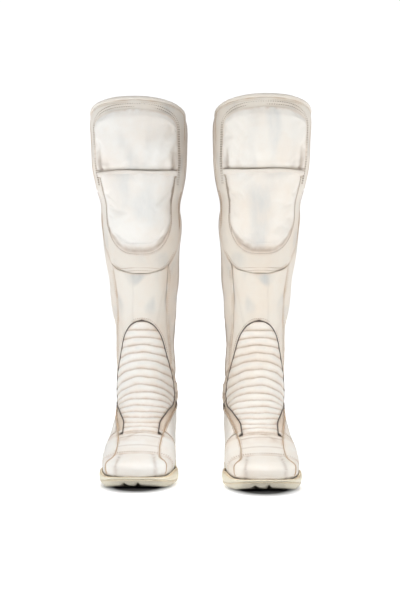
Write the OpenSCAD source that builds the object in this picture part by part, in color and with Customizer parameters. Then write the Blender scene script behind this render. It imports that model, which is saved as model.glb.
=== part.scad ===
// A pair of knee-high riding boots: padded leather shafts with a knee cup, a ribbed
// instep that flexes at the ankle, a straight zip up the back and a rubber unit sole.
// Each boot is drawn once, as the wearer's left, about its own ankle: x to the outer
// side, toes towards -y, z up from the floor. The right boot is its mirror image.

/* [Pair] */
// Sideways distance between the two ankle centres
ankle_gap = 162; // [150:1:220]
// How far the left boot stands ahead of the right one
stagger = 45; // [0:1:60]
// Angle that each foot turns outwards, in degrees
toe_out = 3; // [0:0.5:8]
// Angle that each shaft leans outwards, in degrees
lean = 1.7; // [0:0.1:3]

/* [Shaft] */
// Height of the front of the knee cup above the floor
front_height = 574; // [560:1:590]
// Height of the top edge at the back
back_height = 532; // [515:1:545]
// Half width at the knee cup
knee_half = 73.5; // [70:0.5:76]
// Half width at the waist just under the knee
waist_half = 61.5; // [58:0.5:64]
// Half width just above the ankle
ankle_half = 44.5; // [42:0.5:47]

/* [Foot] */
// Half width of the upper across the ball of the foot
ball_half = 53; // [51:0.5:54]
// Thickness of the rubber outsole under the ball
outsole_t = 9; // [8:0.5:10]
// Height of the heel seat above the floor
heel_seat = 25; // [23:0.5:27]
// Depth of the tread grooves
tread_depth = 3.5; // [2:0.5:5]

/* [Layers] */
// Thickness of the leather panels
leather_t = 1.8; // [1.4:0.1:2.0]
// Thickness of the padded textile lining
lining_t = 1.8; // [1:0.1:2.0]
// Height of the padding in the knee and shin pads
pad_height = 8; // [4:0.5:10]
// Number of padded ribs over the instep
rib_count = 16; // [12:1:18]
// Height of each rib
rib_height = 3.6; // [2:0.2:5]

/* [Zip] */
// Height of the slider above the floor when the zip is shut
slider_z = 498; // [480:1:504]
// Length of the puller
puller_length = 30; // [20:1:36]

/* [Hidden] */
BOOT_NODES = [
    "outsole", "heel", "midsole", "rand", "insole_board", "shank", "footbed",
    "toe_cap", "toe_puff", "vamp", "quarter_lateral", "quarter_medial",
    "heel_counter", "counter_stiffener", "instep_gussets", "instep_ribs",
    "ankle_panels", "foot_lining", "shin_panel", "yoke", "calf_lateral",
    "calf_medial", "knee_pad", "shin_pad", "collar_binding", "shaft_lining",
    "zip_tape", "zip_chain", "zip_slider", "zip_puller"];

// Colours
leather = [0.86, 0.83, 0.78];
white_leather = [0.91, 0.89, 0.86];
tan_leather = [0.78, 0.70, 0.60];
stretch = [0.72, 0.62, 0.52];
cream_rubber = [0.83, 0.79, 0.66];
lining_cloth = [0.45, 0.40, 0.35];
board_brown = [0.55, 0.42, 0.30];
dark_tape = [0.25, 0.22, 0.20];
zip_metal = [0.70, 0.68, 0.62];

// The ankle joint's height, and the back line that the zip follows: straight, through
// (zip_y, zip_foot_z), leaning back by back_slope for each unit of height
ankle_z = 110;
zip_y = 50.5;
zip_foot_z = 130;
back_slope = 0.07;
function back_y(z) = zip_y + (z - zip_foot_z) * back_slope;

// The outsole's top line and the upper's lower line, both over y
MIDSOLE_T = 3;
SOLE_TOP = [
    [-236, 13.5], [-214, outsole_t + 1.5], [-196, outsole_t + 0.5],
    [-168, outsole_t], [-138, outsole_t], [-102, outsole_t + 2],
    [-62, outsole_t + 5.5], [-15, outsole_t + 10], [35, heel_seat - 0.5],
    [81, heel_seat + 2]];
function sole_top(y) = lookup(y, SOLE_TOP);
function seat(y) = sole_top(y) + MIDSOLE_T;

// Stations of the upper's outer surface, from the toe tip over the instep and heel
// and up the shaft. Each is a slice, and holds: front point y, z; back point y, z;
// half width; roundness of its front and back half; taper of its back half.
STATIONS = [
    [-228, 27, -228, seat(-228), 0, 2.2, 4.5, 0],
    [-224.5, 35, -225, seat(-225), 30, 2.3, 4.5, 0],
    [-214, 41.5, -214, seat(-214), 43, 2.3, 4.5, 0],
    [-197, 47, -196, seat(-196), 49.5, 2.3, 4.5, 0.01],
    [-173, 56, -168, seat(-168), ball_half - 0.5, 2.2, 4.5, 0.02],
    [-146, 69, -138, seat(-138), ball_half, 2.1, 4.5, 0.03],
    [-122, 82, -102, seat(-102), 52, 2.05, 4.5, 0.06],
    [-103, 95, -62, seat(-62), 50.5, 2, 4.5, 0.11],
    [-88, 108, -15, seat(-15), 49.5, 2, 4.2, 0.15],
    [-77, 122, 35, seat(35), 48.5, 2, 3.6, 0.17],
    [-69, 137, 66, heel_seat + 9, 47.5, 2, 2.6, 0.14],
    [-63.5, 153, 71, 62, 46.5, 2, 2.2, 0.08],
    [-60, 171, 60, 95, 45.5, 2, 2, 0.03],
    [-58, 192, back_y(130), 130, ankle_half, 2, 2, 0],
    [-57, 218, back_y(170), 170, ankle_half + 0.5, 2, 2, 0],
    [-57, 245, back_y(215), 215, ankle_half + 2, 2, 2, 0],
    [-58, 275, back_y(262), 262, 49, 2.05, 2, 0],
    [-61, 310, back_y(306), 306, 53.5, 2.1, 2, 0],
    [-64, 350, back_y(350), 350, 58, 2.15, 2, 0],
    [-67, 385, back_y(385), 385, 61, 2.2, 2, 0],
    [-70, 415, back_y(415), 415, waist_half, 2.25, 2, 0],
    [-75, 440, back_y(440), 440, 67.5, 2.3, 2, 0],
    [-82, 475, back_y(470), 470, knee_half - 1, 2.4, 2, 0],
    [-88, 515, back_y(500), 500, knee_half - 0.5, 2.4, 2, 0],
    [-92, 547, back_y(520), 520, knee_half, 2.3, 2, 0],
    [-92, front_height, back_y(back_height), back_height, knee_half - 2.5, 2.2, 2, 0]];
TOE_TIP = 0;
SHAFT_TOP = len(STATIONS) - 1;

// The toe's first slice has no width, so its neighbour is mirrored through it to keep
// the tip smooth
MIRRORED = [for (k = [0:7]) k == 4 ? -STATIONS[1][k] : STATIONS[1][k]];
function station_at(i) = i < 0 ? MIRRORED : STATIONS[min(i, SHAFT_TOP)];

// A smooth curve through four neighbouring values
function through(a, b, c, d, f) =
    b + 0.5 * f * (c - a + f * (2 * a - 5 * b + 4 * c - d + f * (3 * (b - c) + d - a)));
function station(v) =
    let (i = max(0, min(floor(v), SHAFT_TOP - 1)))
    through(station_at(i - 1), station_at(i), station_at(i + 1), station_at(i + 2), v - i);

// The point at station v and angle u: 0 at the front or top, 180 at the back or sole,
// positive on the outer side
function power(x, p) = sign(x) * pow(abs(x), p);
function skin(v, u) =
    let (
        q = station(v),
        back = (1 - cos(u)) / 2,
        round = 2 / (q[5] + (q[6] - q[5]) * back),
        along = power(cos(u), round),
        y = (q[0] + q[2]) / 2 + along * (q[0] - q[2]) / 2,
        z = (q[1] + q[3]) / 2 + along * (q[1] - q[3]) / 2,
        taper = 1 - q[7] * pow((1 - along) / 2, 1.5),
        x = q[4] * taper * power(sin(u), round))
    [x + tan(lean) * max(0, z - ankle_z), y, z];

// The outward direction there, and the point a distance h out along it
STEP_V = 0.02;
STEP_U = 0.5;
function outward(v, u) =
    v <= TOE_TIP ? [0, -1, 0] :
    let (
        along_u = skin(v, u + STEP_U) - skin(v, u - STEP_U),
        along_v = skin(min(v + STEP_V, SHAFT_TOP), u) - skin(v - STEP_V, u),
        n = cross(along_u, along_v))
    n / norm(n);
function at(v, u, h) = skin(v, u) + h * outward(v, u);

// A closed sheet over a region of the surface. region(s, t) gives [v, u], with s running
// to larger u and t to larger v; rows are its values of t; low and high are the sheet's
// inner and outer heights. A shut start has no end wall, where the sheet closes on itself.
module sheet(region, columns, rows, low, high, shut = false) {
    last = len(rows) - 1;
    wide = columns + 1;
    deep = wide * len(rows);
    places = [for (t = rows, i = [0:columns]) [i / columns, t]];
    points = concat(
        [for (p = places) let (r = region(p[0], p[1])) at(r[0], r[1], high(p[0], p[1]))],
        [for (p = places) let (r = region(p[0], p[1])) at(r[0], r[1], low(p[0], p[1]))]);
    quads = concat(
        [for (j = [0:last - 1], i = [0:columns - 1]) let (a = j * wide + i)
            [a, a + wide, a + wide + 1, a + 1]],
        [for (j = [0:last - 1], i = [0:columns - 1]) let (a = deep + j * wide + i)
            [a, a + 1, a + wide + 1, a + wide]],
        [for (j = [0:last - 1]) let (a = j * wide) [a, a + deep, a + wide + deep, a + wide]],
        [for (j = [0:last - 1]) let (a = j * wide + columns)
            [a, a + wide, a + wide + deep, a + deep]],
        shut ? [] : [for (i = [0:columns - 1]) [i, i + 1, i + 1 + deep, i + deep]],
        [for (i = [0:columns - 1]) let (a = last * wide + i)
            [a, a + deep, a + 1 + deep, a + 1]]);
    triangles = [for (q = quads, k = [0, 1]) k == 0 ? [q[0], q[1], q[2]] : [q[0], q[2], q[3]]];
    polyhedron(points, triangles, convexity = 10);
}

// Helpers for sheets: a constant height, evenly spaced rows, a region between two edges
// that are tables of angle over station, and the mirror image of a region
function level(h) = function (s, t) h;
function even(n) = [for (i = [0:n]) i / n];
function mix(a, b, t) = a + (b - a) * t;
function between(stations, low_edge, high_edge) = function (s, t)
    let (v = lookup(t, stations)) [v, mix(low_edge(v), high_edge(v), s)];
function mirrored(region) = function (s, t) let (r = region(1 - s, t)) [r[0], -r[1]];
function rows_of(list) = even(len(list) - 1);
function table(list) = [for (i = [0:len(list) - 1]) [i / (len(list) - 1), list[i]]];
function edge(list) = function (v) lookup(v, list);
function minus(e) = function (v) -e(v);
function spread(e, extra) = function (v) e(v) + extra;

// Seams leave this angle between neighbouring panels
SEAM = 0.6;
// Clear space between two layers
GAP = 0.4;

// Where the panels' edges run: angle from the front over station
RIB_EDGE = [
    [6, 30], [7.5, 34], [9, 52], [10, 64], [11, 67], [12, 64], [12.8, 56], [13.4, 47],
    [14, 36], [14.4, 24], [14.7, 10]];
SHIN_EDGE = [[12.8, 64], [14, 58], [15, 53], [16, 50], [17.25, 50]];
YOKE_EDGE = [[17, 12], [17.15, 38], [17.4, 53], [17.9, 69], [18.4, 77], [24.78, 79]];
CALF_EDGE = [
    [12.8, 64], [14, 58], [15, 53], [16, 50], [17.2, 50], [17.4, 53], [17.9, 69],
    [18.4, 77], [24.78, 79]];
QUARTER_TOP = [
    [4.65, 138], [6.1, 44], [7, 50], [8, 56], [9, 63], [10, 72], [11.05, 82],
    [11.3, 110], [11.6, 135], [11.88, 176]];
QUARTER_FOOT = [[9, 140], [9.5, 149], [9.9, 164], [10.2, 179.3]];
VAMP_EDGE = [[4.6, 140], [6.05, 43]];
GUSSET_EDGE = [[6.2, 44.5], [7, 50], [8, 56], [9, 63], [10, 72], [11.05, 82]];
ANKLE_BACK = [[11.1, 82], [11.3, 109], [11.6, 134], [11.9, 179.3]];
// The lining's and the shells' angle at the back, a distance x away from the zip line
function rear(x) = function (v) 180 - asin(x / station(v)[4]);

// The sole's outline, as the outer side's and the inner side's points from toe to heel
OUTER_SIDE = [
    [0, -234], [33, -230], [47.5, -216], [54, -194], [57.5, -165], [57, -135],
    [52.5, -95], [47, -50], [45, -5], [43, 35], [36.5, 60], [21, 75], [0, 79]];
INNER_SIDE = [
    [0, -234], [33, -230], [47.5, -216], [54, -194], [57.5, -165], [56.5, -135],
    [51, -95], [45, -50], [43.5, -5], [42.5, 35], [36.5, 60], [21, 75], [0, 79]];
OUTLINE = concat(
    OUTER_SIDE,
    [for (i = [len(INNER_SIDE) - 2:-1:1]) [-INNER_SIDE[i][0], INNER_SIDE[i][1]]]);
OUTLINE_STEPS = 3;
function outline_point(t) =
    let (n = len(OUTLINE), i = floor(t))
    through(
        OUTLINE[(i - 1 + n) % n], OUTLINE[i % n], OUTLINE[(i + 1) % n],
        OUTLINE[(i + 2) % n], t - i);
function outline(inset) = [
    for (k = [0:len(OUTLINE) * OUTLINE_STEPS - 1])
    let (
        t = k / OUTLINE_STEPS,
        n = len(OUTLINE),
        ahead = outline_point((t + 0.05) % n) - outline_point((t - 0.05 + n) % n),
        inward = [-ahead[1], ahead[0]] / norm(ahead))
    outline_point(t) + inset * inward];

// Where the sole's lines change direction
HEEL_BREAST = -8;
SOLE_BREAKS = [-228, -214, -196, -182, -168, -138, -102, -72, -60, -15, HEEL_BREAST, 35];

// A slab of the sole: the outline, inset, between two lines over y
module band(low, high, y_toe = -240, y_heel = 84) {
    ys = concat([y_toe], [for (y = SOLE_BREAKS) if (y > y_toe && y < y_heel) y], [y_heel]);
    rotate([90, 0, 90])
        linear_extrude(height = 140, center = true)
            polygon(concat(
                [for (y = ys) [y, low(y)]],
                [for (i = [len(ys) - 1:-1:0]) [ys[i], high(ys[i])]]));
}
module slab(inset, low, high, y_toe = -240, y_heel = 84) {
    intersection() {
        linear_extrude(height = 90)
            polygon(outline(inset));
        band(low, high, y_toe, y_heel);
    }
}

// Sole pieces
TREAD_START = -206;
TREAD_PITCH = 17;
TREAD_ANGLE = 28;
GROOVE_W = 5;
SOLE_UNDER = [
    [-240, 9], [-228, 5.5], [-214, 3], [-196, 0.8], [-182, 0], [-72, 0], [-60, 5.5],
    [HEEL_BREAST, 11.5], [84, 11.5]];
module groove_pair(y) {
    for (side = [-1, 1])
        translate([0, y, -1])
            rotate([0, 0, side > 0 ? TREAD_ANGLE : 180 - TREAD_ANGLE])
                translate([7, -GROOVE_W / 2, 0])
                    cube([70, GROOVE_W, tread_depth + 1]);
}
module outsole() {
    color(cream_rubber)
        difference() {
            slab(0, edge(SOLE_UNDER), edge(SOLE_TOP));
            for (k = [0:7])
                groove_pair(TREAD_START + k * TREAD_PITCH);
            // two notches that run out through the toe's edge
            for (side = [-1, 1])
                translate([side * 8, -214, -1])
                    rotate([0, 0, side * 14])
                        translate([-2.5, -40, 0])
                            cube([5, 50, 10]);
        }
}
module heel() {
    color(cream_rubber)
        difference() {
            slab(1.2, level(0), function (y, t) 11.2, y_toe = HEEL_BREAST);
            for (k = [0:2])
                groove_pair(2 + k * TREAD_PITCH);
        }
}
module midsole() {
    color(tan_leather)
        slab(5, function (y) sole_top(y) + 0.1, function (y) seat(y) - 0.2);
}
// The rubber strip round the edge: low over the toe, taller from the ball back
RAND_HEIGHT = [[-240, 2.5], [-214, 3.5], [-182, 8], [-60, 9], [84, 9]];
module rand() {
    color(cream_rubber)
        difference() {
            slab(0.8, function (y) sole_top(y) + 0.1,
                function (y) sole_top(y) + lookup(y, RAND_HEIGHT));
            translate([0, 0, -1])
                linear_extrude(height = 100)
                    polygon(outline(4.6));
        }
}
BOARD_T = 2;
SHANK_T = 1.2;
module insole_board() {
    color(board_brown)
        slab(18.5, function (y) seat(y) + 0.3, function (y) seat(y) + 0.3 + BOARD_T,
            y_heel = 46);
}
module shank() {
    low = BOARD_T + 0.5;
    color("silver")
        intersection() {
            band(function (y) seat(y) + low, function (y) seat(y) + low + SHANK_T, -72, 32);
            translate([-8, -80, 0])
                cube([16, 120, 90]);
        }
}
module footbed() {
    low = BOARD_T + SHANK_T + 0.8;
    color(lining_cloth)
        slab(21, function (y) seat(y) + low, function (y) seat(y) + low + 4, y_heel = 40);
}

// Foot panels
TOE_ROWS = [0, 0.3, 0.6, 1, 1.5, 2, 2.6, 3.25];
module toe_cap() {
    color(white_leather)
        sheet(between(table(TOE_ROWS), level(-140), level(140)), 18, rows_of(TOE_ROWS),
            level(-leather_t), level(0), shut = true);
}
PUFF_ROWS = [0, 0.35, 0.7, 1.1, 1.6, 2.2, 2.8];
module toe_puff() {
    color(board_brown)
        sheet(between(table(PUFF_ROWS), level(-104), level(104)), 16, rows_of(PUFF_ROWS),
            level(-leather_t - 2 * GAP - 1), level(-leather_t - 2 * GAP), shut = true);
}
VAMP_ROWS = [3.28, 3.9, 4.6, 5.1, 5.6, 6.02];
module vamp() {
    color(leather)
        sheet(between(table(VAMP_ROWS), minus(edge(VAMP_EDGE)), edge(VAMP_EDGE)),
            20, rows_of(VAMP_ROWS), level(-leather_t), level(0));
}
QUARTER_ROWS = [
    4.7, 4.95, 5.25, 5.55, 5.85, 6.1, 7, 8, 9, 9.5, 9.9, 10.2, 10.6, 11.05, 11.3, 11.45,
    11.6, 11.75, 11.86];
quarter_region = between(
    table(QUARTER_ROWS), spread(edge(QUARTER_TOP), 2 * SEAM), edge(QUARTER_FOOT));
module quarter(side) {
    color(leather)
        sheet(side > 0 ? quarter_region : mirrored(quarter_region), 7,
            rows_of(QUARTER_ROWS), level(-leather_t), level(0));
}
// The outer heel patch, wider at its foot than at its top
COUNTER_EDGE = [[9.85, 50], [10.6, 58], [11.2, 40], [11.55, 22]];
COUNTER_ROWS = [9.85, 10.2, 10.6, 10.95, 11.25, 11.55];
counter_region = between(
    table(COUNTER_ROWS),
    function (v) 180 - lookup(v, COUNTER_EDGE),
    function (v) 180 + lookup(v, COUNTER_EDGE));
module heel_counter() {
    color(tan_leather)
        sheet(counter_region, 12, rows_of(COUNTER_ROWS), level(2 * GAP), level(2 * GAP + 1.4));
}
STIFFENER_ROWS = [10.3, 10.6, 10.95, 11.25, 11.5];
stiffener_region = between(
    table(STIFFENER_ROWS),
    function (v) 180 - lookup(v, COUNTER_EDGE),
    function (v) 180 + lookup(v, COUNTER_EDGE));
module counter_stiffener() {
    color(board_brown)
        sheet(stiffener_region, 12, rows_of(STIFFENER_ROWS),
            level(-leather_t - 2 * GAP - 1), level(-leather_t - 2 * GAP));
}
GUSSET_ROWS = [6.25, 7, 8, 9, 10, 10.95];
gusset_region = between(
    table(GUSSET_ROWS), spread(edge(RIB_EDGE), 1), spread(edge(GUSSET_EDGE), -SEAM));
module instep_gussets() {
    color(stretch) {
        sheet(gusset_region, 3, rows_of(GUSSET_ROWS), level(-leather_t), level(-0.4));
        sheet(mirrored(gusset_region), 3, rows_of(GUSSET_ROWS), level(-leather_t),
            level(-0.4));
    }
}
// Padded ribs, each a shallow ridge across the instep
RIB_LOW = 6.08;
RIB_TOP = 14.7;
rib_region = function (s, t)
    let (v = mix(RIB_LOW, RIB_TOP, t)) [v, mix(-1, 1, s) * lookup(v, RIB_EDGE)];
module instep_ribs() {
    color(white_leather)
        sheet(rib_region, 8, even(2 * rib_count), level(-leather_t),
            function (s, t) 0.2 + rib_height * pow(abs(sin(180 * rib_count * t)), 0.6)
                * (1 - pow(abs(2 * s - 1), 6)));
}
ANKLE_ROWS = [11.12, 11.3, 11.45, 11.6, 11.75, 11.93, 12.35, 12.76];
ankle_region = between(
    table(ANKLE_ROWS), spread(edge(RIB_EDGE), 1), spread(edge(ANKLE_BACK), -0.2));
module ankle_panels() {
    color(leather) {
        sheet(ankle_region, 8, rows_of(ANKLE_ROWS), level(-leather_t), level(-0.2));
        sheet(mirrored(ankle_region), 8, rows_of(ANKLE_ROWS), level(-leather_t),
            level(-0.2));
    }
}
LINING_OUT = -leather_t - 3 * GAP - 1.2;
FOOT_LINING_ROWS = [2.4, 3.4, 4.6, 5.8, 7, 8.2, 9, 9.5, 10, 10.45, 10.9];
FOOT_LINING_EDGE = [
    [2.4, 112], [4.6, 122], [8.2, 128], [9, 130], [9.5, 138], [10, 156], [10.45, 176],
    [10.9, 176]];
module foot_lining() {
    color(lining_cloth)
        sheet(between(table(FOOT_LINING_ROWS), minus(edge(FOOT_LINING_EDGE)),
                edge(FOOT_LINING_EDGE)),
            16, rows_of(FOOT_LINING_ROWS), level(LINING_OUT - lining_t),
            level(LINING_OUT));
}

// Shaft panels
SHIN_LOW = [
    [0, 14.8], [0.3, 14.64], [0.6, 14.16], [0.7, 13.86], [0.8, 13.5], [0.9, 12.95],
    [1, 12.85]];
SHIN_HIGH = [[0, 16.93], [0.24, 16.95], [0.8, 17.08], [1, 17.18]];
shin_region = function (s, t)
    let (
        across = 2 * s - 1,
        v = mix(lookup(abs(across), SHIN_LOW), lookup(abs(across), SHIN_HIGH), t))
    [v, across * (lookup(v, SHIN_EDGE) - SEAM / 2)];
module shin_panel() {
    color(leather)
        sheet(shin_region, 20, even(4), level(-leather_t), level(0));
}
YOKE_ROWS = [17, 17.15, 17.4, 17.9, 18.4, 19, 20, 20.6, 21.2, 22, 23, 24, 24.78];
module yoke() {
    color(leather)
        sheet(between(table(YOKE_ROWS), minus(edge(YOKE_EDGE)), edge(YOKE_EDGE)), 16,
            rows_of(YOKE_ROWS), level(-leather_t), level(0));
}
CALF_ROWS = [
    12.82, 13.4, 14, 15, 16, 17.2, 17.4, 17.9, 18.4, 19, 20, 20.6, 21.2, 22, 23, 24,
    24.78];
ZIP_LIP = 6.5;
calf_region = between(table(CALF_ROWS), spread(edge(CALF_EDGE), SEAM), rear(ZIP_LIP));
module calf(side) {
    color(leather)
        sheet(side > 0 ? calf_region : mirrored(calf_region), 9, rows_of(CALF_ROWS),
            level(-leather_t), level(0));
}
// A cushion's height falls to nothing over its edges
function crown(x, p) = pow(1 - pow(abs(2 * x - 1), p), 0.5);
KNEE_PAD = [21.82, 24.24];
KNEE_PAD_HALF = 54;
knee_pad_region = function (s, t)
    let (
        across = 2 * s - 1,
        top = KNEE_PAD[1] - 1 + pow(1 - pow(abs(across), 3), 1 / 3))
    [mix(KNEE_PAD[0], top, t), across * KNEE_PAD_HALF];
module knee_pad() {
    color(white_leather)
        sheet(knee_pad_region, 12, even(8), level(GAP + 0.1),
            function (s, t) 2 + pad_height * crown(s, 6) * crown(t, 8));
}
SHIN_PAD = [17.66, 21.7];
SHIN_PAD_HALF = 51;
SHIN_PAD_RISE = 1.6;
shin_pad_region = function (s, t)
    let (
        across = 2 * s - 1,
        foot = SHIN_PAD[0] + SHIN_PAD_RISE * (1 - pow(1 - pow(abs(across), 2.4), 0.5)))
    [mix(foot, SHIN_PAD[1], t), across * SHIN_PAD_HALF];
module shin_pad() {
    color(white_leather)
        sheet(shin_pad_region, 12, even(9), level(GAP + 0.1),
            function (s, t) 2 + (pad_height - 2) * crown(s, 6) * crown(t, 8));
}
module collar_binding() {
    color(tan_leather)
        sheet(between([[0, 24.82], [1, 25]], minus(rear(ZIP_LIP + 9)), rear(ZIP_LIP + 9)),
            30, even(1), level(LINING_OUT - lining_t), level(1));
}
SHAFT_LINING_ROWS = [12.85, 13.8, 15, 16.4, 18, 19.2, 20.2, 21.2, 22.2, 23.4, 24.76];
module shaft_lining() {
    color(lining_cloth)
        sheet(between(table(SHAFT_LINING_ROWS), minus(rear(ZIP_LIP + 9)),
                rear(ZIP_LIP + 9)),
            20, rows_of(SHAFT_LINING_ROWS), level(LINING_OUT - lining_t),
            level(LINING_OUT));
}

// The zip runs along the straight back line. Its pieces are drawn with z along that
// line, y outwards and the line itself at the leather's outer face.
ZIP_TILT = atan(back_slope);
ZIP_LOW = 140;
ZIP_HIGH = 508;
CHAIN_DEPTH = 2.9;
CHAIN_T = 2.4;
CHAIN_HALF_GAP = 0.9;
CHAIN_W = 2;
TOOTH_PITCH = 8;
SLIDER_LENGTH = 12;
module on_zip_line(z) {
    translate([tan(lean) * (z - ankle_z), back_y(z), z])
        rotate([-ZIP_TILT, lean, 0])
            children();
}
TAPE_ROWS = [13.3, 14, 15, 16, 17, 18, 19, 20, 21, 22, 23, 24, 24.75];
tape_region = between(table(TAPE_ROWS), rear(13), rear(CHAIN_HALF_GAP + CHAIN_W + 0.3));
module zip_tape() {
    tape_top = -leather_t - 0.7;
    color(dark_tape) {
        sheet(tape_region, 2, rows_of(TAPE_ROWS), level(tape_top - 0.8), level(tape_top));
        sheet(mirrored(tape_region), 2, rows_of(TAPE_ROWS), level(tape_top - 0.8),
            level(tape_top));
    }
}
// Two rows of teeth, each a notched bar, with a stop at the foot
module tooth_row(side) {
    length = ZIP_HIGH - ZIP_LOW;
    teeth = floor(length / TOOTH_PITCH);
    outer = CHAIN_HALF_GAP + CHAIN_W;
    root = CHAIN_HALF_GAP + 0.6;
    scale_x = side;
    translate([0, -CHAIN_DEPTH + CHAIN_T / 2, 0])
        rotate([90, 0, 0])
            linear_extrude(height = CHAIN_T)
                polygon([
                    for (p = concat(
                        [[outer, 0]],
                        [[outer, teeth * TOOTH_PITCH]],
                        [for (k = [teeth - 1:-1:0]) each [
                            [root, (k + 1) * TOOTH_PITCH],
                            [CHAIN_HALF_GAP, (k + 0.8) * TOOTH_PITCH],
                            [CHAIN_HALF_GAP, (k + 0.2) * TOOTH_PITCH]]],
                        [[root, 0]]))
                    [scale_x * p[0], p[1]]]);
}
module zip_chain() {
    color(zip_metal)
        on_zip_line(ZIP_LOW) {
            tooth_row(1);
            tooth_row(-1);
            translate([-4, -CHAIN_DEPTH - CHAIN_T / 2, -6])
                cube([8, CHAIN_T, 5.5]);
        }
}
// The slider holds the chain between two plates, joined by a thin web between the rows;
// a bridge on its face carries the puller's pin
PIN_R = 1.2;
PIN_OUT = 3.4;
SLIDER_HALF = 5;
PLATE_T = 1.5;
module zip_slider() {
    face = -CHAIN_DEPTH + CHAIN_T / 2 + 0.3;
    under = -CHAIN_DEPTH - CHAIN_T / 2 - 0.3 - PLATE_T;
    color(zip_metal)
        on_zip_line(slider_z) {
            translate([-SLIDER_HALF, face, -SLIDER_LENGTH / 2])
                cube([2 * SLIDER_HALF, PLATE_T, SLIDER_LENGTH]);
            translate([-SLIDER_HALF, under, -SLIDER_LENGTH / 2])
                cube([2 * SLIDER_HALF, PLATE_T, SLIDER_LENGTH]);
            translate([-0.55, under, 0])
                cube([1.1, face - under + PLATE_T, SLIDER_LENGTH / 2]);
            // two cheeks and the pin between them
            for (side = [-1, 1])
                translate([side * 3.4 - 0.7, face, -3])
                    cube([1.4, PIN_OUT - face + 1.8, 6]);
            translate([-4, PIN_OUT, 0])
                rotate([0, 90, 0])
                    cylinder(h = 8, r = PIN_R, $fn = 32);
        }
}
// The puller hangs straight down from the pin, whatever the shaft's lean
PULLER_W = 4.6;
PULLER_T = 1.6;
module zip_puller() {
    color(zip_metal)
        translate([tan(lean) * (slider_z - ankle_z), back_y(slider_z), slider_z])
            rotate([-ZIP_TILT, lean, 0])
                translate([0, PIN_OUT, 0])
                    rotate([ZIP_TILT, 0, 0])
                        difference() {
                            union() {
                                translate([-PULLER_W / 2, 0, 0])
                                    rotate([0, 90, 0])
                                        cylinder(h = PULLER_W, r = 2.3, $fn = 48);
                                translate([-PULLER_W / 2, -PULLER_T / 2, -puller_length])
                                    cube([PULLER_W, PULLER_T, puller_length]);
                            }
                            translate([-PULLER_W, 0, 0])
                                rotate([0, 90, 0])
                                    cylinder(h = 2 * PULLER_W, r = PIN_R + 0.05, $fn = 48);
                            // the eye for a finger or a cord
                            translate([0, 5, -puller_length + 5])
                                rotate([90, 0, 0])
                                    cylinder(h = 10, r = 1.3, $fn = 32);
                        }
}

// One boot's piece by name
module boot_piece(name) {
    if (name == "outsole") outsole();
    if (name == "heel") heel();
    if (name == "midsole") midsole();
    if (name == "rand") rand();
    if (name == "insole_board") insole_board();
    if (name == "shank") shank();
    if (name == "footbed") footbed();
    if (name == "toe_cap") toe_cap();
    if (name == "toe_puff") toe_puff();
    if (name == "vamp") vamp();
    if (name == "quarter_lateral") quarter(1);
    if (name == "quarter_medial") quarter(-1);
    if (name == "heel_counter") heel_counter();
    if (name == "counter_stiffener") counter_stiffener();
    if (name == "instep_gussets") instep_gussets();
    if (name == "instep_ribs") instep_ribs();
    if (name == "ankle_panels") ankle_panels();
    if (name == "foot_lining") foot_lining();
    if (name == "shin_panel") shin_panel();
    if (name == "yoke") yoke();
    if (name == "calf_lateral") calf(1);
    if (name == "calf_medial") calf(-1);
    if (name == "knee_pad") knee_pad();
    if (name == "shin_pad") shin_pad();
    if (name == "collar_binding") collar_binding();
    if (name == "shaft_lining") shaft_lining();
    if (name == "zip_tape") zip_tape();
    if (name == "zip_chain") zip_chain();
    if (name == "zip_slider") zip_slider();
    if (name == "zip_puller") zip_puller();
}

// Places a boot: turned out about its ankle, set apart and staggered, so that the pair's
// box is centred over the origin
PAIR_Y = 76;
module left_boot() {
    translate([ankle_gap / 2, PAIR_Y - stagger / 2, 0])
        rotate([0, 0, toe_out])
            children();
}
module right_boot() {
    translate([-ankle_gap / 2, PAIR_Y + stagger / 2, 0])
        rotate([0, 0, -toe_out])
            mirror([1, 0, 0])
                children();
}

for (name = BOOT_NODES) {
    left_boot() boot_piece(name);
    right_boot() boot_piece(name);
}
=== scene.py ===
# A pair of knee-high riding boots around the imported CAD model: every visible piece is a
# closed mesh built on the same surface as the CAD panels, with seams, stitching and wear.
import math
import bpy
import bmesh
import numpy as np
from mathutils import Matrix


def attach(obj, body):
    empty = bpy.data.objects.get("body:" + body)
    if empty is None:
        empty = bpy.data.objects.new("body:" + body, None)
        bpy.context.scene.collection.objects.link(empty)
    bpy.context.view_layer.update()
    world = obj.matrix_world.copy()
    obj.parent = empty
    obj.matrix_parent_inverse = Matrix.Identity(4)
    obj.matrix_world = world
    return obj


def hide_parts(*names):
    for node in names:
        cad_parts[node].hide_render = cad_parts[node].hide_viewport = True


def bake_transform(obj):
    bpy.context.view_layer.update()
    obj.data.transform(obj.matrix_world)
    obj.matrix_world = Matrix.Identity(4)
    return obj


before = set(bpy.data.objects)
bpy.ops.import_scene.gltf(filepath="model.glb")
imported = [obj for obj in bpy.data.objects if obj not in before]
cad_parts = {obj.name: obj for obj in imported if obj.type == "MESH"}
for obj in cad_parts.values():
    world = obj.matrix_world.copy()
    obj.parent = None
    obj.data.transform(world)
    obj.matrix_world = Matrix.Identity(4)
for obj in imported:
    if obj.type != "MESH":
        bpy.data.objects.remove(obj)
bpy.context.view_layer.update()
MM = 0.001
RANDOM = np.random.default_rng(20)

# ---- The boot's surface, as in the CAD: local millimetres, about the wearer's left ankle

ANKLE_GAP = 162
STAGGER = 45
TOE_OUT = math.radians(3)
PAIR_Y = 76
ANKLE_Z = 110
LEAN = math.radians(1.7)
TAN_LEAN = math.tan(LEAN)
BACK_SLOPE = 0.07
LEATHER = 1.8


def back_y(z):
    return 50.5 + (z - 130) * BACK_SLOPE


SOLE_TOP_Y = [-236, -214, -196, -168, -138, -102, -62, -15, 35, 81]
SOLE_TOP_Z = [13.5, 10.5, 9.5, 9, 9, 11, 14.5, 19, 24.5, 27]


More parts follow.
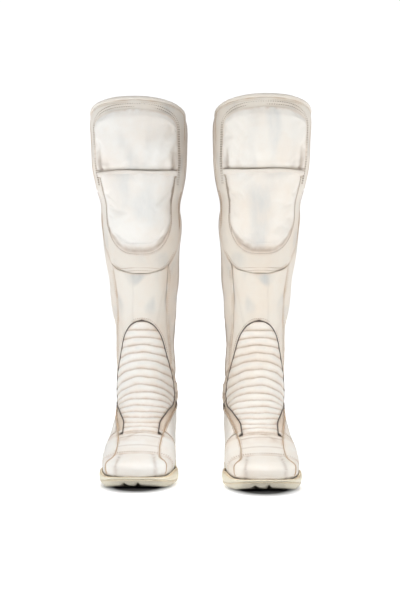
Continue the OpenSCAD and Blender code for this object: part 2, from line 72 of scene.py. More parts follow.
def sole_top(y):
    return np.interp(y, SOLE_TOP_Y, SOLE_TOP_Z)


def seat(y):
    return float(sole_top(y)) + 3


STATIONS = np.array([
    [-228, 27, -228, seat(-228), 0, 2.2, 4.5, 0],
    [-224.5, 35, -225, seat(-225), 30, 2.3, 4.5, 0],
    [-214, 41.5, -214, seat(-214), 43, 2.3, 4.5, 0],
    [-197, 47, -196, seat(-196), 49.5, 2.3, 4.5, 0.01],
    [-173, 56, -168, seat(-168), 52.5, 2.2, 4.5, 0.02],
    [-146, 69, -138, seat(-138), 53, 2.1, 4.5, 0.03],
    [-122, 82, -102, seat(-102), 52, 2.05, 4.5, 0.06],
    [-103, 95, -62, seat(-62), 50.5, 2, 4.5, 0.11],
    [-88, 108, -15, seat(-15), 49.5, 2, 4.2, 0.15],
    [-77, 122, 35, seat(35), 48.5, 2, 3.6, 0.17],
    [-69, 137, 66, 34, 47.5, 2, 2.6, 0.14],
    [-63.5, 153, 71, 62, 46.5, 2, 2.2, 0.08],
    [-60, 171, 60, 95, 45.5, 2, 2, 0.03],
    [-58, 192, back_y(130), 130, 44.5, 2, 2, 0],
    [-57, 218, back_y(170), 170, 45, 2, 2, 0],
    [-57, 245, back_y(215), 215, 46.5, 2, 2, 0],
    [-58, 275, back_y(262), 262, 49, 2.05, 2, 0],
    [-61, 310, back_y(306), 306, 53.5, 2.1, 2, 0],
    [-64, 350, back_y(350), 350, 58, 2.15, 2, 0],
    [-67, 385, back_y(385), 385, 61, 2.2, 2, 0],
    [-70, 415, back_y(415), 415, 61.5, 2.25, 2, 0],
    [-75, 440, back_y(440), 440, 67.5, 2.3, 2, 0],
    [-82, 475, back_y(470), 470, 72.5, 2.4, 2, 0],
    [-88, 515, back_y(500), 500, 73, 2.4, 2, 0],
    [-92, 547, back_y(520), 520, 73.5, 2.3, 2, 0],
    [-92, 574, back_y(532), 532, 71, 2.2, 2, 0]])
TOP = len(STATIONS) - 1
MIRRORED = STATIONS[1] * [1, 1, 1, 1, -1, 1, 1, 1]
CONTROL = np.vstack([MIRRORED, STATIONS, STATIONS[-1]])


def through(a, b, c, d, f):
    return b + 0.5 * f * (c - a + f * (2 * a - 5 * b + 4 * c - d + f * (3 * (b - c) + d - a)))


def station(v):
    i = np.clip(np.floor(v).astype(int), 0, TOP - 1)
    f = (v - i)[..., None]
    return through(CONTROL[i], CONTROL[i + 1], CONTROL[i + 2], CONTROL[i + 3], f)


def power(x, p):
    return np.sign(x) * np.abs(x) ** p


def skin(v, u):
    """The point at station v and angle u, both arrays: u is 0 at the front, 180 behind."""
    q = np.moveaxis(station(v), -1, 0)
    a = np.radians(u)
    roundness = 2 / (q[5] + (q[6] - q[5]) * (1 - np.cos(a)) / 2)
    along = power(np.cos(a), roundness)
    y = (q[0] + q[2]) / 2 + along * (q[0] - q[2]) / 2
    z = (q[1] + q[3]) / 2 + along * (q[1] - q[3]) / 2
    x = q[4] * (1 - q[7] * ((1 - along) / 2) ** 1.5) * power(np.sin(a), roundness)
    return np.stack([x + TAN_LEAN * np.maximum(0, z - ANKLE_Z), y, z], -1)


def unit(a):
    return a / np.maximum(np.linalg.norm(a, axis=-1, keepdims=True), 1e-9)


def directions(v, u):
    """Unit vectors there: outward, to larger u and to larger v."""
    along_u = skin(v, u + 0.5) - skin(v, u - 0.5)
    along_v = skin(np.minimum(v + 0.02, TOP), u) - skin(v - 0.02, u)
    n = unit(np.cross(along_u, along_v))
    n[v <= 1e-6] = [0, -1, 0]
    return n, unit(along_u), unit(along_v)


def ground(v, u):
    """The surface's points there, and the outward unit vectors."""
    return skin(v, u), directions(v, u)[0]


def at(v, u, h):
    base, n = ground(v, u)
    return base + np.asarray(h)[..., None] * n


def placed(points, side):
    """Local millimetres to the row frame's metres."""
    x, y, z = np.moveaxis(np.asarray(points, float), -1, 0)
    c, s = math.cos(TOE_OUT), math.sin(TOE_OUT)
    sign = 1 if side == "left" else -1
    row_x = x * c - y * s + ANKLE_GAP / 2
    row_y = x * s + y * c + PAIR_Y - sign * STAGGER / 2
    return np.stack([sign * row_x, row_y, z], -1) * MM


# ---- Numbers that vary over a surface

def waves(points, length, seed, stretch=(1, 1, 1)):
    """A smooth random field, about -1 to 1, with bumps of that length in millimetres."""
    r = np.random.default_rng(seed)
    k = unit(r.normal(size=(14, 3))) * r.uniform(0.6, 1.5, (14, 1)) * math.tau / length
    phase = r.uniform(0, math.tau, 14)
    p = points / np.array(stretch)
    return np.sin(p @ k.T + phase).sum(-1) / 4


def dip(x, width):
    return np.exp(-(x / width) ** 2)


def ramp(x, low, high):
    t = np.clip((x - low) / (high - low), 0, 1)
    return t * t * (3 - 2 * t)


def folds(points, length, seed, stretch, sharp=0.22):
    """Narrow creases, 1 along their lines and 0 between them."""
    return dip(waves(points, length, seed, stretch), sharp)


# ---- Building closed meshes

class Build:
    """Closed shells that become one piece, with a tone per vertex: wear, dirt, scuff; on some
    pieces these tones also carry painted shade.
    """

    def __init__(self):
        self.points, self.faces, self.tones, self.count = [], [], [], 0

    def add(self, points, faces, tone=(0, 0, 0)):
        points = np.asarray(points, float).reshape(-1, 3)
        self.points.append(points)
        self.faces += [[i + self.count for i in f] for f in faces]
        self.tones.append(np.broadcast_to(np.asarray(tone, float), (len(points), 3)))
        self.count += len(points)

    def sheet(self, outer, inner, tone=(0, 0, 0), open_start=False):
        """A closed shell between two grids of points that share their tones."""
        if np.ndim(tone) > 1:
            tone = np.concatenate([tone, tone]).reshape(-1, 3)
        faces = shell(*outer.shape[:2], open_start)
        self.add(np.concatenate([outer, inner]), faces, tone)

    def piece(self, name, side, material, merge=False):
        points = placed(np.vstack(self.points), side)
        faces = self.faces if side == "left" else [f[::-1] for f in self.faces]
        mesh = bpy.data.meshes.new(f"{side}_{name}")
        mesh.from_pydata(points.tolist(), [], faces)
        tone = np.hstack([np.clip(np.vstack(self.tones), 0, 1), np.ones((self.count, 1))])
        layer = mesh.attributes.new("tone", "FLOAT_COLOR", "POINT")
        layer.data.foreach_set("color", tone.astype(np.float32).ravel())
        obj = bpy.data.objects.new(f"{side}_{name}", mesh)
        bpy.context.scene.collection.objects.link(obj)
        mesh.materials.append(material)
        if merge:
            bm = bmesh.new()
            bm.from_mesh(mesh)
            bmesh.ops.remove_doubles(bm, verts=bm.verts, dist=2e-6)
            bmesh.ops.dissolve_degenerate(bm, edges=bm.edges, dist=1e-6)
            bm.to_mesh(mesh)
            bm.free()
        mesh.polygons.foreach_set("use_smooth", [True] * len(mesh.polygons))
        return obj


def shell(rows, columns, open_start=False):
    """Faces of a closed shell: an outer grid, then an inner one, and the walls between."""
    a = np.arange(rows * columns).reshape(rows, columns)
    deep = rows * columns
    quads = np.stack([a[:-1, :-1], a[:-1, 1:], a[1:, 1:], a[1:, :-1]], -1).reshape(-1, 4)
    under = quads[:, ::-1] + deep
    runs = [a[:, -1], a[-1, ::-1], a[::-1, 0]]
    if not open_start:
        runs.append(a[0])
    walls = [np.stack([r[1:], r[:-1], r[:-1] + deep, r[1:] + deep], -1) for r in runs]
    return np.vstack([quads, under, *walls]).tolist()


def ring_faces(rows, sides, flip=False):
    """Faces of a tube of rings, and of its two ends."""
    a = np.arange(rows * sides).reshape(rows, sides)
    nxt = np.roll(a, -1, axis=1)
    quads = np.stack([a[:-1], nxt[:-1], nxt[1:], a[1:]], -1).reshape(-1, 4)
    if flip:
        return quads[:, [0, 3, 2, 1]].tolist() + [a[0].tolist(), a[-1, ::-1].tolist()]
    return quads.tolist() + [a[0, ::-1].tolist(), a[-1].tolist()]


def clustered(length, cell, near=(0, 0.3, 0.8, 1.5, 2.6)):
    """Positions from 0 to 1 along an edge of that length, closer together at its ends."""
    n = max(2, round((length - 2 * near[-1]) / cell))
    middle = np.linspace(near[-1], length - near[-1], n + 1)[1:-1]
    ends = np.array(near)
    return np.concatenate([ends, middle, length - ends[::-1]]) / length


def run(points, axis):
    """Distance along a grid's lines, from their start and from their end."""
    step = np.linalg.norm(np.diff(points, axis=axis), axis=-1)
    zero = np.zeros_like(np.take(step, [0], axis=axis))
    total = np.concatenate([zero, np.cumsum(step, axis=axis)], axis=axis)
    return total, np.take(total, [-1], axis=axis) - total


def panel(build, region, size, relief=None, tint=None, cell=3.0, low=-LEATHER, rim=0.7,
          lift=0.0, open_start=False):
    """A leather panel over region(s, t) -> v, u, with its edges rolled down by rim."""
    s, t = clustered(size[0], cell), clustered(size[1], cell)
    if open_start:
        t = np.concatenate([np.linspace(0, t[5], 5, endpoint=False), t[5:]])
    s, t = np.meshgrid(s, t)
    v, u = region(s, t)
    base, n = ground(v, u)
    (left, right), (down, up) = run(base, 1), run(base, 0)
    d = np.minimum(np.minimum(left, right), up if open_start else np.minimum(down, up))
    roll = rim - np.sqrt(np.maximum(0, rim ** 2 - (rim - np.minimum(d, rim)) ** 2))
    seat_in = 0.35 * dip(d, 5)
    h = lift - roll - seat_in + 0.22 * waves(base, 42, 3) + 0.08 * waves(base, 13, 4)
    dirt = dip(d, 0.6) * 0.14
    wear = dip(d - 0.6, 1.5) * (0.4 + 0.25 * waves(base, 22, 5))
    scuff = np.zeros_like(d)
    if relief:
        h = h + relief(base, v, u, d)
    if tint:
        more = tint(base, v, u, d)
        wear, dirt, scuff = wear + more[0], dirt + more[1], scuff + more[2]
    tone = np.stack([wear, dirt, scuff], -1)
    build.sheet(base + h[..., None] * n, base + low * n, tone, open_start)


def between(v_low, v_high, low_edge, high_edge):
    def region(s, t):
        v = v_low + (v_high - v_low) * t
        return v, low_edge(v) + (high_edge(v) - low_edge(v)) * s
    return region


def mirrored(region):
    def other(s, t):
        v, u = region(1 - s, t)
        return v, -u
    return other


def resampled(points, *others, pitch):
    """Points and others at equal steps along a line."""
    along = np.concatenate([[0], np.cumsum(np.linalg.norm(np.diff(points, axis=0), axis=1))])
    n = max(2, int(round(along[-1] / pitch)))
    places = np.linspace(0, along[-1], n + 1)
    return [np.stack([np.interp(places, along, a[:, k]) for k in range(a.shape[1])], -1)
            for a in (points, *others)]


def smooth_path(pairs, steps=12):
    """A dense smooth line through (v, u) pairs."""
    p = np.array(pairs, float)
    p = np.vstack([2 * p[0] - p[1], p, 2 * p[-1] - p[-2]])
    f = np.linspace(0, 1, steps, endpoint=False)[:, None]
    parts = [through(*p[i:i + 4], f) for i in range(len(p) - 3)]
    return np.vstack([*parts, p[-2]])


def tube(build, points, normals, radius, tone=(0, 0, 0), sides=8, squash=1.0):
    """A cord along points with rounded ends; squash flattens it towards the surface."""
    t = unit(np.gradient(points, axis=0))
    n = unit(normals - (normals * t).sum(-1, keepdims=True) * t)
    b = np.cross(t, n)
    size = np.full(len(points), float(radius))
    points = np.vstack([points[:1] - t[:1] * radius * 0.9, points[:1] - t[:1] * radius * 0.5,
                        points, points[-1:] + t[-1:] * radius * 0.5,
                        points[-1:] + t[-1:] * radius * 0.9])
    size = np.concatenate([[radius * 0.35, radius * 0.8], size, [radius * 0.8, radius * 0.35]])
    n, b = (np.vstack([a[:1], a[:1], a, a[-1:], a[-1:]]) for a in (n, b))
    angle = np.arange(sides) * math.tau / sides
    ring = (np.cos(angle)[None, :, None] * b[:, None] +
            squash * np.sin(angle)[None, :, None] * n[:, None])
    grid = points[:, None] + size[:, None, None] * ring
    build.add(grid, ring_faces(len(points), sides), tone)


def on_line(pairs, height, steps=12):
    line = smooth_path(pairs, steps)
    base, n = ground(line[:, 0], line[:, 1])
    return base + height * n, n


def stitches(build, points, normals, pitch=3.4, length=2.5, radius=0.36, tone=(0, 0, 0)):
    """A row of thread stitches, each a short arched capsule half sunk in the leather."""
    p, n = resampled(points, normals, pitch=pitch)
    n = unit(n)
    middle, heading, out = (p[1:] + p[:-1]) / 2, unit(p[1:] - p[:-1]), unit(n[1:] + n[:-1])
    across = np.cross(heading, out)
    x = np.array([-0.5, -0.4, -0.15, 0.15, 0.4, 0.5])
    size = np.array([0.35, 0.85, 1, 1, 0.85, 0.35]) * radius
    arch = np.array([-0.3, -0.05, 0.1, 0.1, -0.05, -0.3])
    sides = 6
    angle = np.arange(sides) * math.tau / sides
    faces = ring_faces(len(x), sides, flip=True)
    for m, h, o, c in zip(middle, heading, out, across):
        centre = m + x[:, None] * length * h + arch[:, None] * o
        ring = np.cos(angle)[None, :, None] * c + np.sin(angle)[None, :, None] * o
        build.add(centre[:, None] + size[:, None, None] * ring, faces, tone)


# ---- Materials

class Paint:
    """A procedural material, built a node at a time on the piece's own coordinates."""

    def __init__(self, name, colour, roughness):
        self.material = bpy.data.materials.new(name)
        self.material.use_nodes = True
        self.tree = self.material.node_tree
        self.shader = self.tree.nodes["Principled BSDF"]
        self.shader.inputs["Roughness"].default_value = roughness
        self.place = self.new("ShaderNodeTexCoord").outputs["Object"]
        self.colour = self.rgb(colour)
        self.heights = []

    def new(self, kind, **inputs):
        node = self.tree.nodes.new(kind)
        for name, value in inputs.items():
            self.put(node.inputs[name.replace("_", " ")], value)
        return node

    def put(self, socket, value):
        if isinstance(value, bpy.types.NodeSocket):
            self.tree.links.new(value, socket)
        else:
            socket.default_value = value

    def rgb(self, colour):
        return (*colour, 1)

    def tone(self):
        node = self.new("ShaderNodeAttribute")
        node.attribute_name = "tone"
        parts = self.new("ShaderNodeSeparateColor", Color=node.outputs["Color"])
        return [parts.outputs[k] for k in ("Red", "Green", "Blue")]

    def noise(self, scale, detail=3.0, roughness=0.55, stretch=None):
        place = self.place
        if stretch:
            place = self.new("ShaderNodeMapping", Vector=place, Scale=stretch).outputs[0]
        node = self.new("ShaderNodeTexNoise", Vector=place, Scale=scale, Detail=detail,
                        Roughness=roughness)
        return node.outputs["Fac"]

    def cells(self, scale, feature="F1"):
        node = self.new("ShaderNodeTexVoronoi", Vector=self.place, Scale=scale)
        node.feature = feature
        return node.outputs["Distance"]

    def span(self, value, low, high, to_low=0.0, to_high=1.0):
        node = self.new("ShaderNodeMapRange", Value=value, From_Min=low, From_Max=high,
                        To_Min=to_low, To_Max=to_high)
        node.clamp = True
        return node.outputs["Result"]

    def math(self, kind, a, b):
        node = self.new("ShaderNodeMath")
        node.operation = kind
        self.put(node.inputs[0], a)
        self.put(node.inputs[1], b)
        return node.outputs[0]

    def vector(self, kind, a, b=(0, 0, 0)):
        node = self.new("ShaderNodeVectorMath", Vector=a)
        node.operation = kind
        self.put(node.inputs[1], b)
        return node.outputs

    def blend(self, factor, colour):
        node = self.new("ShaderNodeMix")
        node.data_type = "RGBA"
        self.put(node.inputs["Factor"], factor)
        sockets = [s for s in node.inputs if s.type == "RGBA"]
        self.put(sockets[0], self.colour)
        self.put(sockets[1], self.rgb(colour))
        self.colour = [s for s in node.outputs if s.type == "RGBA"][0]

    def bump(self, height, distance, strength=1.0):
        self.heights.append((height, distance, strength))

    def done(self, **shader):
        if isinstance(self.colour, tuple):
            self.shader.inputs["Base Color"].default_value = self.colour
        else:
            self.put(self.shader.inputs["Base Color"], self.colour)
        normal = None
        for height, distance, strength in self.heights:
            node = self.new("ShaderNodeBump", Height=height, Distance=distance,
                            Strength=strength)
            if normal is not None:
                self.put(node.inputs["Normal"], normal)
            normal = node.outputs["Normal"]
        if normal is not None:
            self.put(self.shader.inputs["Normal"], normal)
        for name, value in shader.items():
            self.put(self.shader.inputs[name.replace("_", " ")], value)
        return self.material


def aged_leather(name, base, warm, wear, dirt, scuff, roughness=0.5, grain=1.0):
    """Off-white leather: cloudy yellowing, tan wear, brown dirt in seams, grey scuffs; the same
    tan, brown and grey also paint shade where a piece's tones put it.
    """
    p = Paint(name, base, roughness)
    worn, dirty, scuffed = p.tone()
    p.blend(p.span(p.noise(14, 4, 0.6), 0.42, 0.68), warm)
    p.blend(p.span(p.noise(70, 5, 0.65), 0.5, 0.8, 0, 0.5), warm)
    streaks = p.noise(60, 4, 0.6, (1, 1, 0.35))
    p.blend(p.math("MULTIPLY", scuffed, p.span(streaks, 0.3, 0.75, 0.25, 1.0)), scuff)
    patchy = p.span(p.noise(110, 4, 0.6), 0.25, 0.7, 0.35, 1.0)
    p.blend(p.math("MULTIPLY", worn, patchy), wear)
    p.blend(p.math("MULTIPLY", dirty, p.span(p.noise(160, 3), 0.2, 0.7, 0.55, 1.0)), dirt)
    specks = p.span(p.noise(900, 2, 0.5), 0.66, 0.78, 0, 0.35)
    p.blend(specks, scuff)
    p.bump(p.cells(760), 0.00035, 0.16 * grain)
    p.bump(p.noise(240, 6, 0.7), 0.0008, 0.20 * grain)
    p.bump(p.noise(45, 3, 0.6), 0.0020, 0.12)
    rough = p.span(p.noise(85, 4, 0.6), 0.3, 0.75, roughness - 0.08, roughness + 0.14)
    return p.done(Roughness=rough, Sheen_Weight=0.06, Specular_IOR_Level=0.42)


def woven(name, base, second, scale, roughness=0.85):
    """Cloth: crossed threads from two stretched waves, with fuzz and patches."""
    p = Paint(name, base, roughness)
    dirty = p.tone()[1]
    p.blend(p.span(p.noise(40, 4), 0.4, 0.7), second)
    threads = []
    for axis in ("X", "Z"):
        wave = p.new("ShaderNodeTexWave", Vector=p.place, Scale=scale, Distortion=1.2,
                     Detail=1.0)
        wave.bands_direction = axis
        threads.append(wave.outputs["Fac"])
    weave = p.math("MULTIPLY", *threads)
    p.blend(p.span(weave, 0.0, 0.6, 0.35, 0.0), tuple(c * 0.5 for c in base))
    p.blend(dirty, tuple(c * 0.45 for c in base))
    p.bump(weave, 0.0004, 0.6)
    p.bump(p.noise(1200, 2), 0.0002, 0.3)
    return p.done(Sheen_Weight=0.25, Specular_IOR_Level=0.2)


def rubber(name, base, dark):
    p = Paint(name, base, 0.55)
    worn, dirty = p.tone()[:2]
    p.blend(p.span(p.noise(30, 5, 0.65), 0.4, 0.75, 0, 0.6), tuple(c * 0.86 for c in base))
    p.blend(p.math("MULTIPLY", worn, p.span(p.noise(90, 3), 0.25, 0.65, 0.5, 1)),
            (0.62, 0.45, 0.26))
    p.blend(dirty, dark)
    p.blend(p.span(p.noise(420, 4, 0.7), 0.6, 0.78, 0, 0.5), dark)
    p.bump(p.noise(520, 4, 0.7), 0.0006, 0.35)
    p.bump(p.cells(1500), 0.0002, 0.25)
    return p.done(Specular_IOR_Level=0.35)


def metal(name, base, roughness):
    p = Paint(name, base, roughness)
    p.blend(p.span(p.noise(200, 5, 0.7), 0.45, 0.7, 0, 0.6), tuple(c * 0.55 for c in base))
    p.bump(p.noise(900, 3), 0.0001, 0.3)
    rough = p.span(p.noise(350, 4), 0.3, 0.7, roughness - 0.1, roughness + 0.15)
    return p.done(Metallic=1.0, Roughness=rough)


def board(name, base, roughness=0.8):
    p = Paint(name, base, roughness)
    p.blend(p.span(p.noise(160, 5, 0.7), 0.35, 0.7), tuple(c * 0.7 for c in base))
    p.bump(p.noise(700, 4), 0.0003, 0.5)
    return p.done()


TAN = (0.56, 0.385, 0.25)
# The dirt colour also paints shade on the instep ribs, the cushions and the inner calves.
DIRT_AND_SHADE = (0.16, 0.105, 0.07)
SCUFF = (0.50, 0.52, 0.52)
WARMTH = {"left": (1.0, 0.98, 0.952), "right": (1.0, 1.0, 1.0)}


def tinted(colour, side):
    return tuple(c * w for c, w in zip(colour, WARMTH[side]))


LEATHER_OF = {
    side: aged_leather("aged_leather_" + side, tinted((0.79, 0.755, 0.695), side),
                       tinted((0.79, 0.715, 0.63), side), TAN, DIRT_AND_SHADE, SCUFF)
    for side in WARMTH}
WHITE_OF = {
    side: aged_leather("white_leather_" + side, tinted((0.86, 0.845, 0.81), side),
                       tinted((0.83, 0.775, 0.71), side), TAN, DIRT_AND_SHADE, (0.55, 0.58, 0.59), 0.46)
    for side in WARMTH}
tan = aged_leather("tan_leather", (0.66, 0.55, 0.43), (0.60, 0.47, 0.34),
                   TAN, DIRT_AND_SHADE, SCUFF, 0.55)
stretch_knit = aged_leather("stretch_knit", (0.76, 0.65, 0.54), (0.80, 0.71, 0.61),
                            TAN, DIRT_AND_SHADE, SCUFF, 0.75, 0.5)
cord_dark = aged_leather("dark_cord", (0.10, 0.085, 0.075), (0.14, 0.11, 0.09),
                         (0.30, 0.22, 0.16), (0.03, 0.02, 0.02), (0.3, 0.3, 0.3), 0.5)
thread = aged_leather("thread", (0.62, 0.52, 0.42), (0.54, 0.43, 0.33),
                      TAN, DIRT_AND_SHADE, SCUFF, 0.7)
cream_rubber = rubber("cream_rubber", (0.83, 0.78, 0.64), (0.22, 0.18, 0.12))
lining_cloth = woven("lining_cloth", (0.34, 0.29, 0.24), (0.28, 0.235, 0.19), 500)
tape_cloth = woven("tape_cloth", (0.42, 0.38, 0.33), (0.36, 0.32, 0.27), 900)
brass = metal("zip_brass", (0.62, 0.56, 0.42), 0.38)
steel = metal("shank_steel", (0.56, 0.57, 0.58), 0.3)
fibre = board("fibre_board", (0.40, 0.27, 0.16))
foam = board("midsole_foam", (0.52, 0.42, 0.30), 0.7)

# ---- Seam lines: angle from the front over station

SEAM = 0.32


def smooth(pairs, width=0.3):
    """A table with its corners rounded off over that many stations."""
    a = np.array(pairs, float)
    v = np.linspace(a[0, 0], a[-1, 0], 900)
    dense = np.interp(v, a[:, 0], a[:, 1])
    n = max(1, int(width / (v[1] - v[0]) / 2))
    ends = (2 * dense[0] - dense[n:0:-1], 2 * dense[-1] - dense[-2:-n - 2:-1])
    padded = np.concatenate([ends[0], dense, ends[1]])
    rounded = np.convolve(padded, np.ones(2 * n + 1) / (2 * n + 1), "valid")
    return lambda x: np.interp(x, v, rounded)


RIB_PAIRS = [
    (5.5, 27), (7, 30), (8.6, 45), (9.5, 56), (10.2, 63), (11.2, 70), (12, 67), (12.8, 56),
    (13.4, 47), (14, 39), (14.4, 29), (14.62, 20), (14.78, 6)]
rib_edge = smooth(RIB_PAIRS, 0.5)
shin_edge = smooth([(12.8, 64), (14, 58), (15, 53), (16, 50), (17.25, 50)])
yoke_edge = smooth([(17, 12), (17.15, 38), (17.4, 53), (17.9, 69), (18.4, 77),
                    (24.78, 79)], 0.2)
calf_edge = smooth([(12.8, 64), (14, 58), (15, 53), (16, 50), (17.33, 50), (17.4, 53),
                    (17.9, 69), (18.4, 77), (24.78, 79)], 0.2)
quarter_top = smooth([(4.65, 138), (6.1, 39), (7, 44), (8, 52), (9, 61), (10, 72),
                      (11.05, 82), (11.3, 110), (11.6, 135), (11.88, 176)], 0.12)
quarter_foot = smooth([(4.7, 140), (9, 140), (9.5, 149), (9.9, 164), (10.2, 179.3),
                       (12, 179.3)], 0.2)
vamp_edge = smooth([(3.2, 140), (4.6, 140), (6.05, 38)], 0.12)
gusset_edge = smooth([(6.2, 39.5), (7, 44), (8, 52), (9, 61), (10, 72), (11.05, 82)])
ankle_back = smooth([(11.1, 82), (11.3, 109), (11.6, 134), (11.9, 179.3),
                     (12.8, 179.3)], 0.12)
counter_edge = smooth([(9.85, 50), (10.6, 58), (11.2, 40), (11.55, 22)], 0.4)
PIPING = [
    (10.9, 81), (10, 72), (9, 61), (8, 52), (7, 44), (6.1, 38.5), (5.2, 34), (4.3, 32),
    (3.4, 34), (2.85, 38), (2.45, 50), (2.2, 68), (2.05, 88), (1.95, 104)]
piping_edge = smooth(PIPING[::-1], 0.4)
ZIP_LIP = 6.5


def rear(x):
    return lambda v: 180 - np.degrees(np.arcsin(x / station(np.asarray(v, float))[..., 4]))


def shifted(edge, extra):
    return lambda v: edge(v) + extra


def minus(edge):
    return lambda v: -edge(v)


# ---- The foot

def toe_line(p, v):
    """Distance outside the two seams that run to the toe."""
    return np.abs(p[..., 0]) - (31 - 2.2 * v)


def toe_relief(p, v, u, d):
    line = toe_line(p, v)
    return (-0.75 * dip(line, 0.8) + 0.5 * dip(line - 3, 3) - 0.5 * dip(line + 3, 3) * 0.3
            + 0.25 * waves(p, 30, 31))


def toe_tint(p, v, u, d):
    line = toe_line(p, v)
    seam = 0.45 * dip(line, 0.9)
    outer = ramp(np.abs(u) - piping_edge(v), -1, 2)
    return 0.35 * dip(line, 2.5) + 0.15 * outer, seam, 0.35 * (1 - ramp(np.abs(line), 0, 9))


def build_toe_cap(b):
    def region(s, t):
        return 3.25 * t, -140 + 280 * s
    panel(b, region, (170, 66), toe_relief, toe_tint, cell=2.6, open_start=True)


VAMP_SEAMS = (4.25, 5.15)
VAMP_STEP = 27      # millimetres from one station to the next along the vamp


def vamp_creases(p, v, u):
    """1 between the pipings and 0 outside them, and the creases there."""
    inside = 1 - ramp(np.abs(u) - piping_edge(v), -2, 1)
    return inside, folds(p, 34, 8, (3.2, 1, 1), 0.16) * ramp(v, 4.4, 5.4) * inside


def vamp_relief(p, v, u, d):
    inside, creases = vamp_creases(p, v, u)
    h = -0.5 * creases
    for seam in VAMP_SEAMS:
        off = (v - seam) * VAMP_STEP
        h = h - 0.7 * dip(off, 0.9) * inside + 0.4 * dip(off, 5)
    return h


def vamp_tint(p, v, u, d):
    inside, creases = vamp_creases(p, v, u)
    lines = sum(dip((v - seam) * VAMP_STEP, 1.0) for seam in VAMP_SEAMS) * inside
    peach = (0.4 * dip((5.6 - v) * VAMP_STEP, 6)
             + 0.2 * dip((v - 5) * VAMP_STEP, 7) * inside)
    return 0.4 * lines + peach + 0.3 * creases, 0.4 * lines + 0.18 * creases, 0 * v


def build_vamp(b):
    def region(s, t):
        x = 2 * s - 1
        high = 6.04 - 0.5 * (1 - ramp(np.abs(x), 0.5, 0.68))
        v = 3.27 + (high - 3.27) * t
        return v, x * vamp_edge(v)
    panel(b, region, (160, 74), vamp_relief, vamp_tint, cell=2.4)


def quarter_creases(p, v):
    return folds(p, 40, 12, (1, 1.6, 0.8), 0.14) * ramp(v, 8.5, 10)


def quarter_relief(p, v, u, d):
    return -0.6 * quarter_creases(p, v) + 0.5 * waves(p, 46, 14)


def quarter_tint(p, v, u, d):
    creases = quarter_creases(p, v)
    low = ramp(np.abs(u), 112, 138)
    scuff = 0.3 * ramp(waves(p, 30, 15), 0, 1)
    return 0.3 * creases + 0.5 * low, 0.2 * creases + 0.25 * low, scuff


def build_quarter(b, outer):
    region = between(4.7, 11.86, shifted(quarter_top, 2 * SEAM), quarter_foot)
    panel(b, region if outer else mirrored(region), (66, 215), quarter_relief,
          quarter_tint, cell=2.8)


def build_heel_patch(b):
    region = between(9.85, 11.55, lambda v: 180 - counter_edge(v),
                     lambda v: 180 + counter_edge(v))
    panel(b, region, (82, 52), None, lambda p, v, u, d: (0.25, 0.1, 0.3), cell=2.4,
          low=0.8, lift=2.2, rim=0.9)


def knit_lines(v, u):
    return np.sin(math.tau * (v * 24 + np.abs(u) * 0.16) / 2.3)


def knit_relief(p, v, u, d):
    return -0.9 + 0.42 * knit_lines(v, u)


def knit_tint(p, v, u, d):
    return 0.08 + 0 * v, 0.2 * ramp(-knit_lines(v, u), -0.2, 1), 0 * v


def build_gussets(b):
    region = between(5.95, 11.0, shifted(rib_edge, 0.6), shifted(gusset_edge, -SEAM))
    for side in (region, mirrored(region)):
        panel(b, side, (14, 120), knit_relief, knit_tint, cell=0.62, rim=0.5, low=-2.4)


RIBS = 16
RIB_HEIGHT = 3.5
RIB_GROWTH = RANDOM.uniform(0.88, 1.1, RIBS + 1)


def build_ribs(b):
    v_line = np.linspace(5.56, 14.74, 500)
    front = skin(v_line, 0 * v_line)
    steps = np.diff(front, axis=0)
    steps = 0.5 * np.linalg.norm(steps, axis=1) + 0.5 * steps[:, 2]
    along = np.concatenate([[0], np.cumsum(steps)])
    s, t = np.meshgrid(clustered(84, 1.9), np.linspace(0, 1, RIBS * 13 + 1))
    v = np.interp(t * along[-1], along, v_line)
    x = 2 * s - 1
    u = x * rib_edge(v)
    base, n = ground(v, u)
    bow = -0.66 + 0.5 * ramp(t, 0.4, 0.85)
    arch = bow * ramp(t, 0, 0.12) * (1 - ramp(t, 0.93, 1))
    phase = np.clip(RIBS * t - arch * (1 - x ** 2) + 0.07 * waves(base, 30, 21)
                    * np.sin(math.pi * t), 0, RIBS)
    index = np.clip(np.floor(phase).astype(int), 0, RIBS - 1)
    f = phase - index
    taper = np.maximum(0, 1 - np.abs(x) ** 7) ** 0.6
    pillow = np.abs(np.sin(math.pi * f)) ** 0.52
    channel = np.minimum(f, 1 - f) * along[-1] / RIBS
    pucker = 0.16 * waves(base, 5, 22, (1, 3, 3)) * dip(channel - 1.5, 2.0) * taper
    h = 0.1 + RIB_HEIGHT * RIB_GROWTH[index] * pillow * taper + pucker
    edge_mm = np.minimum(*run(base, 1))
    h = h - 0.9 * dip(edge_mm, 0.8)
    # Painted shade: tan on the underside of each rib (below), and a dark line with tan along the
    # channels between the ribs.
    below = dip(f - 0.16, 0.2)
    dirt = 0.42 * dip(channel, 0.5) + 0.2 * dip(edge_mm, 1.2)
    wear = 0.5 * dip(channel - 0.3, 1.0) + 0.24 * below + 0.25 * dip(edge_mm, 7)
    scuff = 0.3 * dip(f - 0.6, 0.2) * ramp(waves(base, 26, 23), -0.2, 0.8)
    tone = np.stack([wear, dirt, scuff], -1)
    b.sheet(base + h[..., None] * n, base - LEATHER * n, tone)


def ankle_folds(p):
    return folds(p, 30, 41, (1.2, 2.2, 0.75), 0.3)


def ankle_relief(p, v, u, d):
    bulge = 2.6 * dip((v - 12.05) * 22, 14) * dip((np.abs(u) - 96) / 22, 1)
    return (bulge - 1.5 * ankle_folds(p) * ramp(d, 1, 7)
            + 0.9 * waves(p, 24, 42) * ramp(d, 0, 8))


def ankle_tint(p, v, u, d):
    folded = ankle_folds(p)
    return 0.35 + 0.4 * folded, 0.35 * folded + 0.12, 0 * v


def build_ankle(b):
    region = between(11.08, 12.84, shifted(rib_edge, 0.7), shifted(ankle_back, -0.1))
    for side in (region, mirrored(region)):
        panel(b, side, (92, 62), ankle_relief, ankle_tint, cell=2.2, lift=-0.7, low=-2.6)


# ---- The sole

